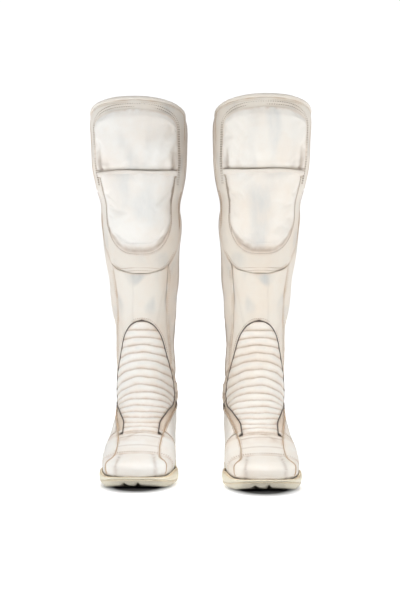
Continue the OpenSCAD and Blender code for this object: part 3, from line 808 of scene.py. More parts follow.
OUTER_SIDE = [
    (0, -234), (33, -230), (47.5, -216), (54, -194), (57.5, -165), (57, -135),
    (52.5, -95), (47, -50), (45, -5), (43, 35), (36.5, 60), (21, 75), (0, 79)]
INNER_SIDE = [
    (0, -234), (33, -230), (47.5, -216), (54, -194), (57.5, -165), (56.5, -135),
    (51, -95), (45, -50), (43.5, -5), (42.5, 35), (36.5, 60), (21, 75), (0, 79)]
OUTLINE = np.array(OUTER_SIDE + [(-x, y) for x, y in INNER_SIDE[-2:0:-1]], float)
AROUND = len(OUTLINE)


def outline(t, inset):
    """The sole's outline at t, 0 at the toe and 12 at the heel's back, moved inwards."""
    def raw(t):
        i = np.floor(t).astype(int)
        rows = [OUTLINE[(i + k) % AROUND] for k in (-1, 0, 1, 2)]
        return through(*rows, (t - i)[..., None])
    ahead = raw(t + 0.05) - raw(t - 0.05)
    inward = unit(np.stack([-ahead[..., 1], ahead[..., 0]], -1))
    return raw(t) + np.asarray(inset)[..., None] * inward


def grooved(x, y, starts, notches):
    """How deep in a tread groove a point of the underside is, 0 to 1, and in a notch."""
    deep = np.zeros_like(x)
    for side in (1, -1):
        angle = math.radians(28)
        for start in starts:
            along = side * x * math.cos(angle) + (y - start) * math.sin(angle)
            across = -side * x * math.sin(angle) + (y - start) * math.cos(angle)
            cut = (1 - ramp(np.abs(across), 1.9, 3.1)) * ramp(along, 6, 8.5)
            deep = np.maximum(deep, cut)
    open_toe = np.zeros_like(x)
    for middle in notches:
        wide = 2.4 + 0.05 * np.abs(y + 214)
        cut = (1 - ramp(np.abs(x - middle * (1 - (y + 214) / 90)), wide * 0.6, wide * 1.3))
        open_toe = np.maximum(open_toe, cut * (1 - ramp(y, -212, -206)))
    return deep, open_toe


# The sole's side: how far in it is, square or round, at each share of the way down.
SQUARE = (1.0, 0.35, 0.0, 0.25, 0.3, 0.1, 0.1, 0.6, 1.4)
ROUND = (1.4, 1.2, 1.4, 2.2, 3.4, 5.2, 7.4, 9.4, 12)
DOWN = (0.0, 0.05, 0.16, 0.34, 0.52, 0.7, 0.84, 0.94, 1.0)


def sole_block(b, ks, top, under, inset, starts, notches, across=48, rounded=True):
    """A rubber block: rings across the foot along the outline, with a grooved underside."""
    rings = []
    tones = []
    for k in ks:
        k = np.array(float(k))
        ring, tone = [], []
        y = outline(k, inset)[1]
        part = (1 - ramp(y, -80, -25)) * (0.1 + 0.9 * ramp(y, -230, -196)) if rounded else 0.0
        insets = [inset + (q + (r - q) * part) for q, r in zip(SQUARE, ROUND)]
        down = [outline(k, e) for e in insets]
        up = [outline(AROUND - k, e) for e in insets]
        y = (down[2][1] + up[2][1]) / 2
        high, low = float(top(y)), float(under(y))

        def floor_at(p):
            deep, toe = grooved(np.array(p[0]), np.array(p[1]), starts, notches)
            z = low + max(0, 3.5 - low) * float(deep) + max(0, 9 - low) * float(toe)
            return z, float(max(deep, toe))

        def add(p, z, wear, dirt):
            ring.append([p[0], p[1], z])
            tone.append([wear, dirt, 0.0])

        def add_side(fractions, points, foot):
            z, cut = floor_at(foot)
            for f, p in zip(fractions, points):
                add(p, high + (z - high) * f, 0.7 * dip(f - 0.05, 0.12),
                    0.15 + 0.5 * cut * f ** 3)
        for m in range(1, across):
            add(up[0] + (down[0] - up[0]) * m / across, high, 0, 0.3)
        add_side(DOWN, down, down[-1])
        for m in range(1, across):
            p = down[-1] + (up[-1] - down[-1]) * m / across
            z, cut = floor_at(p)
            add(p, z, 0.1, 0.25 + 0.6 * cut)
        add_side(DOWN[::-1], up[::-1], up[-1])
        rings.append(ring)
        tones.append(tone)
    faces = ring_faces(*np.shape(rings)[:2], flip=True)
    b.add(rings, faces, np.reshape(tones, (-1, 3)))


UNDER_Y = [-240, -228, -214, -196, -182, -72, -60, -8, 84]
UNDER_Z = [5, 3, 1.4, 0.3, 0, 0, 5.5, 11.5, 11.5]


def eased(y_list, z_list, width=9):
    y = np.linspace(y_list[0], y_list[-1], 900)
    z = np.interp(y, y_list, z_list)
    n = int(width / (y[1] - y[0]))
    z = np.convolve(np.pad(z, n, "edge"), np.ones(2 * n + 1) / (2 * n + 1), "valid")
    return lambda x: np.interp(x, y, z)


sole_under = eased(UNDER_Y, UNDER_Z, 4)
sole_high = eased([-240, *SOLE_TOP_Y, 90], [14, *SOLE_TOP_Z, 27.5])


HEEL_END = [11.62, 11.76, 11.9, 11.98]


def build_outsole(b, notches):
    ks = np.concatenate([[0.02, 0.12, 0.25, 0.45], np.linspace(0.6, 11.5, 170), HEEL_END])
    sole_block(b, ks, sole_high, sole_under, 0, -206 + 17 * np.arange(8), notches)


def build_heel(b):
    breast = 7.9525
    ks = np.concatenate([np.linspace(breast, 11.5, 60), HEEL_END])
    sole_block(b, ks, lambda y: 11.25, lambda y: 0.0, 1.2, 2 + 17 * np.arange(3), (),
               rounded=False)


rand_height = eased([-240, -226, -206, -182, -138, -60, 90],
                    [2.6, 4, 9.5, 15, 15.5, 12, 10], 10)


def build_rand(b):
    t = np.linspace(0, AROUND, 361)[:-1]
    y = outline(t, 0.8 + 0 * t)[:, 1]
    low, high = sole_high(y) - 0.2, sole_high(y) + rand_height(y)
    profile = [(1.6, 0, 0.5), (0.9, 0.12, 0.1), (0.2, 0.4, 0.0), (0.3, 0.62, 0.1),
               (0.9, 0.78, 0.2), (1.1, 0.86, 0.8), (1.5, 0.94, 0.9), (2.2, 1.0, 0.9),
               (3.2, 1.02, 0.5), (4.2, 0.99, 0.4), (4.8, 0.9, 0.8), (4.8, 0.05, 0.8)]
    rings, tones = [], []
    for inset, f, dirt in profile:
        p = outline(t, inset + 0 * t)
        z = low + (high - low) * f
        rings.append(np.concatenate([p, z[:, None]], 1))
        wear = 0.85 * dip(f - 0.93, 0.13)
        dirt = 0.3 * dirt * (inset > 3) + 0.35 * (f < 0.05)
        tones.append(np.tile([wear, dirt, 0], (len(t), 1)))
    grid = np.stack(rings, 1)
    rows, n = grid.shape[:2]
    a = np.arange(rows * n).reshape(rows, n)
    right, up = np.roll(a, -1, axis=1), np.roll(a, -1, axis=0)
    both = np.roll(right, -1, axis=0)
    quads = np.stack([a, up, both, right], -1).reshape(-1, 4).tolist()
    b.add(grid, quads, np.stack(tones, 1).reshape(-1, 3))


# ---- The shaft

PANEL_TOP = 24.74
KNEE_STEP = 28      # millimetres from one station to the next below the knee


def shin_folds(p):
    return folds(p, 60, 52, (1, 1, 3), 0.1)


def shin_relief(p, v, u, d):
    return 0.8 * waves(p, 70, 51, (1, 1, 1.6)) - 0.35 * shin_folds(p)


def shin_tint(p, v, u, d):
    smudge = ramp(waves(p, 34, 53, (1, 1, 1.7)), 0.1, 1.3) * ramp(p[..., 2], 225, 290)
    return 0.12 * ramp(np.abs(u), 25, 50), 0.1 * shin_folds(p), 0.9 * smudge


SHIN_LOW = [(0, 14.84), (0.3, 14.7), (0.6, 14.16), (0.7, 13.86), (0.8, 13.5),
            (0.9, 13.05), (1, 12.85)]


def build_shin(b):
    low = smooth(SHIN_LOW, 0.12)
    high = smooth([(0, 16.985), (0.24, 16.99), (0.8, 17.155), (1, 17.33)], 0.2)

    def region(s, t):
        across = 2 * s - 1
        v_low, v_high = low(np.abs(across)), high(np.abs(across))
        v = v_low + (v_high - v_low) * t
        edge = shin_edge(v) - SEAM / 2
        inner = rib_edge(np.clip(v, 12.8, 14.74)) + 1.2
        u = across * edge
        beside_ribs = np.maximum(np.abs(u), np.minimum(inner, edge - 0.5))
        return v, np.where(v < 14.6, np.sign(across) * beside_ribs, u)
    panel(b, region, (100, 88), shin_relief, shin_tint, cell=2.6)


KNEE_PAD = (21.82, 24.24)
KNEE_HALF = 54
SHIN_PAD = (17.66, 21.7)
SHIN_HALF = 51


def arch_line(extra_u, extra_v, foot=21.1):
    """A line round the knee cushion, that far outside it in angle and station."""
    a = np.radians(np.linspace(-90, 90, 61))
    half = KNEE_HALF + extra_u
    rise = power(np.cos(a), 2 / 3) * (1 + extra_v)
    arc = np.stack([KNEE_PAD[1] - 1 + rise, half * power(np.sin(a), 2 / 3)], -1)
    leg = np.linspace(foot, KNEE_PAD[1] - 1, 12, endpoint=False)
    left = np.stack([leg, np.full(12, -float(half))], -1)
    return np.vstack([left, arc, left[::-1] * [1, -1]])


def cup_line(inset_u, inset_v, top=21.45):
    """A line round the shin cushion, that far inside its edge."""
    a = np.sin(np.linspace(-1, 1, 81) * math.pi / 2)
    half = SHIN_HALF - inset_u
    foot = SHIN_PAD[0] + inset_v + 1.6 * (1 - np.sqrt(1 - np.minimum(1, np.abs(a)) ** 2.6))
    arc = np.stack([foot, half * a], -1)
    leg = np.linspace(top, arc[0, 0], 14, endpoint=False)
    left = np.stack([leg, np.full(14, -float(half))], -1)
    return np.vstack([left, arc, left[::-1] * [1, -1]])


def distance_to(points, line_vu):
    """Distance in millimetres from each grid point to a line on the surface."""
    line = skin(line_vu[:, 0], line_vu[:, 1])
    flat = points.reshape(-1, 3)
    out = np.empty(len(flat))
    for i in range(0, len(flat), 4000):
        part = flat[i:i + 4000, None] - line[None]
        out[i:i + 4000] = np.sqrt((part ** 2).sum(-1).min(-1))
    return out.reshape(points.shape[:-1])


ARCHES = [arch_line(3.2, 0.13), arch_line(5.8, 0.27)]
WELT = arch_line(4.5, 0.2)


def knee_notch(v, u):
    """The shaft draws in at the sides between the knee and the shin."""
    return -3.2 * dip((v - 20.45) * KNEE_STEP, 11) * ramp(np.abs(u), 56, 78)


def yoke_relief(p, v, u, d):
    welt = distance_to(p, WELT)
    h = 0.5 * dip(welt, 3.2) - 0.3 * folds(p, 44, 62, (1, 1, 1.4), 0.1)
    return h + 0.6 * waves(p, 60, 61) + knee_notch(v, u)


def yoke_tint(p, v, u, d):
    welt = distance_to(p, WELT)
    low = ramp(19.5 - v, 0, 2)
    wear = 0.08 * dip(welt, 4.5) + 0.1 * low + 0.2 * ramp(np.abs(u), 62, 76) * ramp(24 - v, 0, 1)
    return wear, 0 * v, 0.5 * ramp(waves(p, 40, 63), 0.2, 1.3)


def build_yoke(b):
    region = between(17.0, PANEL_TOP, minus(yoke_edge), yoke_edge)
    panel(b, region, (205, 250), yoke_relief, yoke_tint, cell=3.0, rim=1.3)


def calf_creases(p, v, low_share):
    """Creases below the knee, and weaker ones above the ankle."""
    near_knee = dip((v - 20.2) * KNEE_STEP, 30)
    near_ankle = dip((v - 13.6) * 26, 26)
    return folds(p, 52, 72, (1.3, 1.3, 0.6), 0.13) * np.maximum(near_knee,
                                                                low_share * near_ankle)


def calf_relief(p, v, u, d):
    soft = 1.5 * waves(p, 85, 71, (1, 1, 0.8)) * ramp(d, 0, 16)
    return soft + knee_notch(v, u) - 0.9 * calf_creases(p, v, 0.8) * ramp(d, 1, 8)


def calf_tint_with_inner_shade(inner):
    """The inner calf has a dark brown strip of painted shade down its side, where it faces the
    other boot; the strip is faint on the outer calf.
    """
    def calf_tint(p, v, u, d):
        crease = calf_creases(p, v, 1.0)
        side = np.abs(u)
        # Painted shade: a dark brown strip down the inner calf's side, added to the wear and
        # dirt tones.
        inner_shade_band = ramp(side, 81, 90) * (1 - 0.8 * ramp(side, 96, 118))
        dark = inner_shade_band * (0.75 + 0.25 * waves(p, 60, 73, (1, 1, 2.5))) * (1.0 if inner else 0.1)
        scuff = 0.4 * ramp(waves(p, 44, 74), 0.2, 1.3)
        return 0.1 + 0.25 * crease + dark, 0.2 * crease + dark, scuff
    return calf_tint


def build_calf(b, outer):
    region = between(12.82, PANEL_TOP, shifted(calf_edge, SEAM), rear(ZIP_LIP))
    panel(b, region if outer else mirrored(region), (92, 390), calf_relief,
          calf_tint_with_inner_shade(not outer), cell=3.2)


def crown(x, p):
    return np.sqrt(np.maximum(0, 1 - np.abs(2 * x - 1) ** p))


def build_collar(b):
    u = np.linspace(-1, 1, 121) * rear(ZIP_LIP + 2)(TOP)
    v = np.full_like(u, 24.86)
    n, _, along_v = directions(v, u)
    centre = skin(v, u) - 2.3 * n
    sides = 14
    angle = np.arange(sides) * math.tau / sides
    wobble = 1 + 0.05 * waves(centre, 9, 81)
    ring = (4.0 * np.cos(angle)[None, :, None] * n[:, None]
            + 3.2 * np.sin(angle)[None, :, None] * along_v[:, None])
    grid = centre[:, None] + ring * wobble[:, None, None]
    high = np.tile(np.sin(angle), (len(u), 1)).reshape(-1)
    tone = np.stack([0.15 * dip(high - 0.9, 0.5), 0.04 + 0.2 * dip(high - 1, 0.3),
                     0.5 * dip(high - 1, 0.5)], -1)
    b.add(grid, ring_faces(len(u), sides, flip=True), tone)


LINING_OUT = -4.2


def build_shaft_lining(b):
    region = between(12.85, 24.8, minus(rear(ZIP_LIP + 9)), rear(ZIP_LIP + 9))
    s, t = np.meshgrid(np.linspace(0, 1, 100), np.linspace(0, 1, 112))
    v, u = region(s, t)
    base, n = ground(v, u)
    across = run(base, 1)[0] - run(base, 1)[1]
    z = base[..., 2]
    a, c = (across / 2 + z) / 30, (across / 2 - z) / 30
    pillow = (np.abs(np.sin(math.pi * a)) * np.abs(np.sin(math.pi * c))) ** 0.5
    inner = base + (LINING_OUT - 0.7 - 1.6 * pillow)[..., None] * n
    dirt = 0.7 * (1 - ramp(pillow, 0, 0.4))
    b.sheet(base + LINING_OUT * n, inner, np.stack([0 * dirt, dirt, 0 * dirt], -1))


def build_foot_lining(b):
    edge = smooth([(2.4, 112), (4.6, 122), (8.2, 128), (9, 130), (9.5, 138), (10, 156),
                   (10.45, 176), (10.9, 176)], 0.2)
    s, t = np.meshgrid(np.linspace(0, 1, 46), np.linspace(0, 1, 60))
    v, u = between(2.4, 10.9, minus(edge), edge)(s, t)
    outer = at(v, u, np.full_like(v, LINING_OUT))
    b.sheet(outer, at(v, u, LINING_OUT - 1.6 + 0.2 * np.sin(v * 20)))


# ---- The padded cushions, inflated as cloth

PRESSURE = 5.0
CLOTH_FRAMES = 20
CUSHION_CAP = 4.5
CUSHION_BACK = 0.5


def inflate(start, loose, name, cap):
    """Runs a pressurised cloth over a grid of points in millimetres. loose is 0 where the
    cloth is sewn down and 1 where it is free. Returns the points after it."""
    rows, columns = start.shape[:2]
    a = np.arange(rows * columns).reshape(rows, columns)
    quads = np.stack([a[:-1, :-1], a[:-1, 1:], a[1:, 1:], a[1:, :-1]], -1).reshape(-1, 4)
    mesh = bpy.data.meshes.new(name)
    mesh.from_pydata((start.reshape(-1, 3) * MM).tolist(), [], quads.tolist())
    obj = bpy.data.objects.new(name, mesh)
    bpy.context.scene.collection.objects.link(obj)
    pins = obj.vertex_groups.new(name="sewn")
    pins.add([int(i) for i in np.flatnonzero(loose.ravel() < 0.5)], 1.0, "REPLACE")
    cloth = obj.modifiers.new("Cloth", "CLOTH")
    s = cloth.settings
    s.quality = 6
    s.mass = 0.25
    s.tension_stiffness = 12
    s.compression_stiffness = 12
    s.shear_stiffness = 4
    s.bending_stiffness = 0.6
    s.tension_damping = 8
    s.compression_damping = 8
    s.use_pressure = True
    s.uniform_pressure_force = PRESSURE
    s.shrink_min = -0.05
    s.vertex_group_mass = "sewn"
    s.effector_weights.gravity = 0
    cloth.collision_settings.use_collision = False
    cloth.point_cache.frame_start = 1
    cloth.point_cache.frame_end = CLOTH_FRAMES
    scene = bpy.context.scene
    for f in range(1, CLOTH_FRAMES + 1):
        scene.frame_set(f)
    shaped = obj.evaluated_get(bpy.context.evaluated_depsgraph_get()).to_mesh()
    co = np.zeros(rows * columns * 3, np.float32)
    shaped.vertices.foreach_get("co", co)
    scene.frame_set(1)
    bpy.data.objects.remove(obj)
    bpy.data.meshes.remove(mesh)
    move = co.reshape(start.shape) / MM - start
    size = np.linalg.norm(move, axis=-1, keepdims=True)
    return start + move * np.minimum(1, cap / np.maximum(size, 1e-6))


def cushion(b, name, v, u, height, loose, tone):
    """A cushion over a grid of stations and angles, swollen from a first height."""
    base, n = ground(v, u)
    outer = base + height[..., None] * n
    outer = inflate(outer, loose, name, CUSHION_CAP)
    b.sheet(outer, base + CUSHION_BACK * n, tone)


def build_knee(b, name, seed):
    near = (0, 0.5, 1.3, 2.6)
    s, t = np.meshgrid(clustered(125, 3.0, near), clustered(80, 3.0, near))
    x = 2 * s - 1
    top = KNEE_PAD[1] - 1 + (1 - np.abs(x) ** 3) ** (1 / 3)
    v = KNEE_PAD[0] - 0.06 + (top - KNEE_PAD[0] + 0.06) * t
    u = x * KNEE_HALF
    base = skin(v, u)
    edge = distance_to(base, arch_line(0, 0, KNEE_PAD[0]))
    floor_d = t * np.linalg.norm(base[-1] - base[0], axis=-1)
    sewn = ramp(edge, 1.2, 13)
    tucked = ramp(floor_d, -3, 7)
    r = waves(base, 34, seed)
    pucker = sum(depth * dip((x - place) / wide, 1) * (1 - ramp(t, 0.06, reach)) for
                 place, depth, wide, reach in ((-0.8, 3.2, 0.07, 0.5),
                                               (0.78, 3.6, 0.065, 0.55),
                                               (0.54, 0.9, 0.07, 0.3),
                                               (-0.5, 0.6, 0.08, 0.26)))
    height = (1.9 + 0.5 * dip(edge, 2.2) + 5.2 * sewn ** 0.7 * (0.25 + 0.75 * tucked)
              + 0.5 * r * sewn - pucker * sewn)
    loose = ((edge > 2.4) & (floor_d > 3)).astype(float)
    # Painted shade: the pucker shade goes into the wear, dirt and scuff tones, and the dirt tone
    # also darkens the bottom edge tucked under the hem, most towards the corners.
    shade = pucker / 3
    scuff = 0.55 * dip(x - 0.05, 0.35) * ramp(waves(base, 30, seed + 1, (1, 1, 3)), -0.7, 0.8)
    dirt = (0.45 * shade * (1 - ramp(t, 0.05, 0.5))
            + 0.3 * dip(floor_d, 2.0) * (0.4 + np.abs(x) ** 3) + 0.15 * dip(edge, 0.8))
    tone = np.stack([0.45 * dip(edge - 1.2, 1.8) + 0.3 * shade, dirt, scuff + 0.35 * shade], -1)
    cushion(b, name, v, u, height, loose, tone)


def build_shin_pad(b, name, seed):
    s, t = np.meshgrid(clustered(120, 3.0, (0, 0.5, 1.3, 2.6, 4.6, 7)),
                       clustered(120, 3.0, (0, 0.5, 1.3, 2.6, 5, 8)))
    x = 2 * s - 1
    foot = SHIN_PAD[0] + 1.6 * (1 - np.sqrt(np.maximum(0, 1 - np.abs(x) ** 2.6)))
    v = foot + (SHIN_PAD[1] - foot) * t
    u = x * SHIN_HALF
    base = skin(v, u)
    edge = distance_to(base, cup_line(0, 0, SHIN_PAD[1]))
    low = ramp(19.6 - v, 0, 1.4)
    flange = 4.0 + 3.5 * low
    inside = edge - flange
    dome = ramp(inside, -1.5, 11) ** 0.7
    r = waves(base, 40, seed)
    gather = 0.5 * waves(base, 9, seed + 3, (1, 1, 4)) * dip(inside - 4, 7) * low
    ridge = 0.5 * np.abs(np.sin(math.pi * s * 46)) * dip(edge - 5, 4.5) * ramp(low, 0.5, 1)
    height = (1.7 + 5.0 * dome + 0.45 * r * dome + gather + ridge
              - 0.6 * dip(inside + 0.6, 1.2) + 0.35 * dip(edge - 1.3, 1.3))
    height = height - 0.9 * dip(edge, 0.7)
    loose = ((inside > 0.5) & (t < 0.985)).astype(float)
    scuff = 0.6 * dip(x + 0.05, 0.5) * ramp(waves(base, 34, seed + 1, (1, 1, 3)), -0.8, 0.8)
    border = 1 - ramp(inside, -1, 4)
    # Painted shade: the extra wear and dirt just inside the border along the bottom (low) shade
    # the underside of the dome.
    tone = np.stack([0.4 * border + 0.3 * dip(inside - 3, 5) * low,
                     0.3 * dip(inside + 0.4, 1.1) + 0.2 * dip(edge, 0.9)
                     + 0.3 * dip(inside - 2, 4) * low, scuff * (1 - border)], -1)
    cushion(b, name, v, u, height, loose, tone)


HEM_HALF = 51.2


def build_hem(b):
    """The pocket's turned hem, over the shin cushion's top edge."""
    u = np.linspace(-HEM_HALF, HEM_HALF, 70)
    base, n = ground(21.62 + 0.02 * np.sin(u / 9), u)
    h = 2.0 + 5.0 * crown((u + HEM_HALF) / (2 * HEM_HALF), 5)
    tube(b, base + h[:, None] * n, n, 4.1, (0.12, 0.06, 0.0), 14, 0.42)


# ---- Trims and stitching

RIB_CORD = [(v, float(rib_edge(v)) + 0.4) for v in (5.6, 6.2, 6.8, 7.4, 8, 8.7, 9.4, 10, 10.6,
                                                     11.2, 11.8, 12.4, 12.9, 13.4, 13.8, 14.15)]
RIB_CORD += [(14.45, 27), (14.66, 17), (14.77, 0)]
RIB_LINE = RIB_CORD + [(v, -u) for v, u in RIB_CORD[-2::-1]]


def edge_line(edge, v, extra=0.0):
    """(v, u) pairs along an edge, that many degrees outside it."""
    return [(x, float(edge(x)) + extra) for x in v]


def both_sides(pairs):
    return [pairs, [(v, -u) for v, u in pairs]]


def cord(b, pairs, height, steps, radius, tone, pitch=2.2):
    tube(b, *resampled(*on_line(pairs, height, steps), pitch=pitch), radius, tone)


def build_rib_cord(b):
    cord(b, RIB_LINE, 0.9, 8, 0.8, (0.15, 0, 0))


def build_quarter_cord(b, sign):
    v = np.array([10.3, 10.7, 11.06, 11.2, 11.36, 11.55, 11.72, 11.88])
    pairs = [(x, sign * w) for x, w in edge_line(quarter_top, v, -0.4)]
    cord(b, pairs, 0.5, 10, 0.8, (0.2, 0, 0))


def build_piping(b, sign):
    p, n = on_line([(v, sign * float(piping_edge(v))) for v in np.linspace(10.8, 1.95, 34)],
                   0.15, 6)
    p, n = resampled(p, n, pitch=2.4)
    patch = ramp(waves(p, 30, 91), -0.8, 0.8)
    tone = np.repeat(np.stack([0.5 + 0.5 * patch, 0.25 * (1 - patch), 0 * patch], -1), 8, 0)
    tone = np.vstack([tone[:8], tone[:8], tone, tone[-8:], tone[-8:]])
    tube(b, p, n, 1.15, tone, 8)


def build_crease(b):
    line = [(5.55, w) for w in np.linspace(-26.5, 26.5, 30)]
    cord(b, line, -0.35, 4, 1.0, (0.4, 0.05, 0), pitch=1.6)


def sew(b, pairs, height, steps=8, **how):
    p, n = on_line(pairs, height, steps)
    stitches(b, p, n, **how)


def sew_pair(b, pairs, height=0.0, steps=3, **how):
    for side in both_sides(pairs):
        sew(b, side, height, steps, **how)


DARK_STITCH = (0.7, 0.9, 0)
TAN_STITCH = (0.9, 0.4, 0)
PALE_STITCH = (0.15, 0.0, 0)


def sew_foot(b):
    for gap in (2.6, -2.6):
        line = edge_line(piping_edge, np.linspace(10.4, 2.1, 36), gap * 1.15)
        sew_pair(b, line, tone=PALE_STITCH, radius=0.3)
    for x in (3.42, 3.52):
        sew(b, [(x, w) for w in np.linspace(-118, 118, 40)], -0.05, 3, tone=TAN_STITCH,
            radius=0.3)
    heel = edge_line(lambda w: 180 - counter_edge(w), np.linspace(9.95, 11.46, 14), 2.2)
    rest = [(11.47, w) for w in np.linspace(heel[-1][1] + 3, 360 - heel[-1][1] - 3, 9)]
    line = heel + rest + [(w, 360 - a) for w, a in heel[::-1]]
    sew(b, line, 2.2, 3, tone=TAN_STITCH, radius=0.32)
    sew_pair(b, edge_line(quarter_top, np.linspace(5.4, 11.02, 26), 3.4), tone=TAN_STITCH,
             radius=0.3)
    back = [(11.02, 86), (11.2, 108), (11.48, 133), (11.74, 172)]
    sew_pair(b, back, steps=10, tone=TAN_STITCH, radius=0.3)


def sew_shaft(b):
    for line in ARCHES:
        sew(b, line[::2], 0.25, 4, tone=DARK_STITCH, pitch=3.6, length=2.3, radius=0.5)
    cup = cup_line(2.0, 0.06)
    sew(b, cup[::2], 2.2, 4, tone=DARK_STITCH, length=2.1, radius=0.45)
    rim = cup_line(6.5, 0.21, 18.6)
    sew(b, rim[::2], 1.9, 4, tone=DARK_STITCH, pitch=2.6, length=1.7)
    for gap in (0.09, 0.2):
        v = np.linspace(17.0 + gap, 20.8, 50)
        half = [(x, float(yoke_edge(x - gap * 0.2)) - gap * 24) for x in v]
        base = [(17.02 + gap, w) for w in np.linspace(-8, 8, 5)]
        line = [(x, -w) for x, w in half[::-1] if w > 9] + base + [q for q in half if q[1] > 9]
        sew(b, line, 0.0, 3, tone=TAN_STITCH, radius=0.36)
    line = edge_line(yoke_edge, np.linspace(20.9, 24.6, 20), -2.2)
    sew_pair(b, line, -0.1, tone=PALE_STITCH)
    for gap in (2.6, 4.9):
        line = edge_line(calf_edge, np.linspace(13.0, 17.15, 24), gap * 1.1)
        sew_pair(b, line, -0.1, tone=PALE_STITCH, radius=0.32)
    outside = [(v, (abs(u) + 6.5) * (1 if u >= 0 else -1)) for v, u in RIB_LINE
               if 13.0 < v < 14.3]
    left = [q for q in outside if q[1] < 0]
    right = [q for q in outside if q[1] > 0]
    line = right + [(14.62, 27), (14.86, 15), (14.92, 0), (14.86, -15), (14.62, -27)] + left
    sew(b, line, -0.05, 4, tone=TAN_STITCH, radius=0.32)
    sew_pair(b, edge_line(rear(ZIP_LIP + 3.2), np.linspace(13.1, 24.6, 60)),
             tone=PALE_STITCH)
    sew(b, [(24.58, w) for w in np.linspace(-165, 165, 60)], 0.05, 3, tone=PALE_STITCH)


def sew_ladder(b):
    """Short dark stitches across the inner edge of the shin cushion, and its bar tacks."""
    for v in np.arange(19.5, 21.4, 0.068):
        n, across, _ = directions(np.array([v]), np.array([-46.8]))
        p = at(np.array([v, v]), np.array([-48.2, -45.4]), np.array([2.3, 2.5]))
        stitches(b, p, np.vstack([n, n]), pitch=3.3, length=3.0, radius=0.36,
                 tone=DARK_STITCH)
    for side in (-1, 1):
        for k in range(7):
            v, u = np.full(2, 21.47 + 0.05 * k), side * np.array([47.0, 50.6])
            base, n = ground(v, u)
            stitches(b, base + np.array([[4.9], [3.4]]) * n, n, pitch=4.6, length=4.4,
                     radius=0.42, tone=TAN_STITCH)


# ---- The zip, on its straight line up the back

ZIP_TILT = math.atan(BACK_SLOPE)
ZIP_LOW_Z = 140


def zip_axes(z):
    """The zip line's point at that height, and its across, outward and upward axes."""
    ct, st, cl, sl = math.cos(ZIP_TILT), math.sin(ZIP_TILT), math.cos(LEAN), math.sin(LEAN)
    origin = np.array([TAN_LEAN * (z - ANKLE_Z), back_y(z), z])
    across = np.array([cl, 0, -sl])
    out = np.array([-sl * st, ct, -cl * st])
    up = np.array([sl * ct, st, cl * ct])
    return origin, across, out, up


def pebble(b, centre, axes, half, tone=(0, 0, 0), soft=0.45, rows=7, sides=10):
    """A rounded block: a superellipsoid with those half sizes."""
    lat = np.linspace(-math.pi / 2, math.pi / 2, rows)[1:-1]
    lon = np.arange(sides) * math.tau / sides
    ring = power(np.cos(lat), soft)[:, None]
    x = ring * power(np.cos(lon), soft)
    y = ring * power(np.sin(lon), soft)
    z = power(np.sin(lat), soft)[:, None] + 0 * x
    p = np.stack([x, y, z], -1).reshape(-1, 3)
    p = np.vstack([p, [[0, 0, -1]], [[0, 0, 1]]]) * half
    p = centre + p @ np.array(axes)
    faces = ring_faces(len(lat), sides)[:-2]
    south = len(lat) * sides
    last = south - sides
    ring = [(i, (i + 1) % sides) for i in range(sides)]
    faces += [[south, j, i] for i, j in ring]
    faces += [[south + 1, last + i, last + j] for i, j in ring]
    b.add(p, faces, tone)


TOOTH_PITCH = 4.0
TEETH = 92


def build_teeth(b):
    origin, across, out, up = zip_axes(ZIP_LOW_Z)
    for k in range(TEETH):
        for side in (-1, 1):
            rise = 2 + k * TOOTH_PITCH + (0.5 * TOOTH_PITCH if side > 0 else 0)
            centre = origin + side * 1.15 * across - 2.9 * out + rise * up
            pebble(b, centre, (across, up, out), (1.75, 0.8, 1.15), (0, 0.2, 0.3), rows=6,
                   sides=8)
    for rise, half in ((-3, (3.6, 2.6, 1.2)), (369.5, (3.4, 1.2, 1.2))):
        pebble(b, origin + rise * up - 2.9 * out, (across, up, out), half, (0, 0.1, 0.2))


def build_tape(b):
    region = between(13.3, 24.75, rear(13), rear(3.1))
    for side in (region, mirrored(region)):
        s, t = np.meshgrid(np.linspace(0, 1, 14), np.linspace(0, 1, 150))
        v, u = side(s, t)
        ripple = 0.12 * np.sin(v * 40 + s * 3)
        outer, inner = at(v, u, -2.5 + ripple), at(v, u, -3.3 + ripple)
        edge = np.stack([0 * s, 0.3 * dip(np.minimum(s, 1 - s), 0.12), 0 * s], -1)
        b.sheet(outer, inner, edge)
    origin, across, out, up = zip_axes(ZIP_LOW_Z)
    pebble(b, origin - 8.5 * up - 2.9 * out, (across, up, out), (7.5, 7.5, 0.9), soft=0.3)


def softened(node, width, material, angle=32):
    """A copy of a CAD node with its edges rounded."""
    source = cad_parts[node]
    mesh = source.data.copy()
    bm = bmesh.new()
    bm.from_mesh(mesh)
    bmesh.ops.remove_doubles(bm, verts=bm.verts, dist=1e-6)
    bmesh.ops.dissolve_limit(bm, angle_limit=math.radians(2), verts=bm.verts, edges=bm.edges)
    sharp = [e for e in bm.edges if len(e.link_faces) == 2
             and e.calc_face_angle(0) > math.radians(angle)]
    bmesh.ops.bevel(bm, geom=sharp, offset=width * MM, segments=2, affect="EDGES",
                    profile=0.5, clamp_overlap=True)
    bm.to_mesh(mesh)
    bm.free()
    obj = bpy.data.objects.new(node + "_finished", mesh)
    bpy.context.scene.collection.objects.link(obj)
    mesh.materials.clear()
    mesh.materials.append(material)
    mesh.polygons.foreach_set("use_smooth", [True] * len(mesh.polygons))
    mesh.set_sharp_from_angle(angle=math.radians(40))
    return obj


# ---- Putting the pair together


def fit(obj, side, body, slot, *nodes):
    """Puts a piece on a body, or across the ankle, and hides the CAD nodes it stands for."""
    if body == "ankle":
        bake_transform(obj)
    else:
        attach(obj, f"{side}_{body}")
    if nodes:
        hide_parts(*[f"{side}_{n}" for n in nodes])


def make(side, name, build, material, body, slot, *nodes, merge=False):
    b = Build()
    build(b)
    obj = b.piece(name, side, material, merge)
    fit(obj, side, body, slot, *nodes)
    return obj


HIDDEN = {"midsole": foam, "insole_board": fibre, "toe_puff": fibre,
          "counter_stiffener": fibre, "footbed": lining_cloth, "shank": steel}


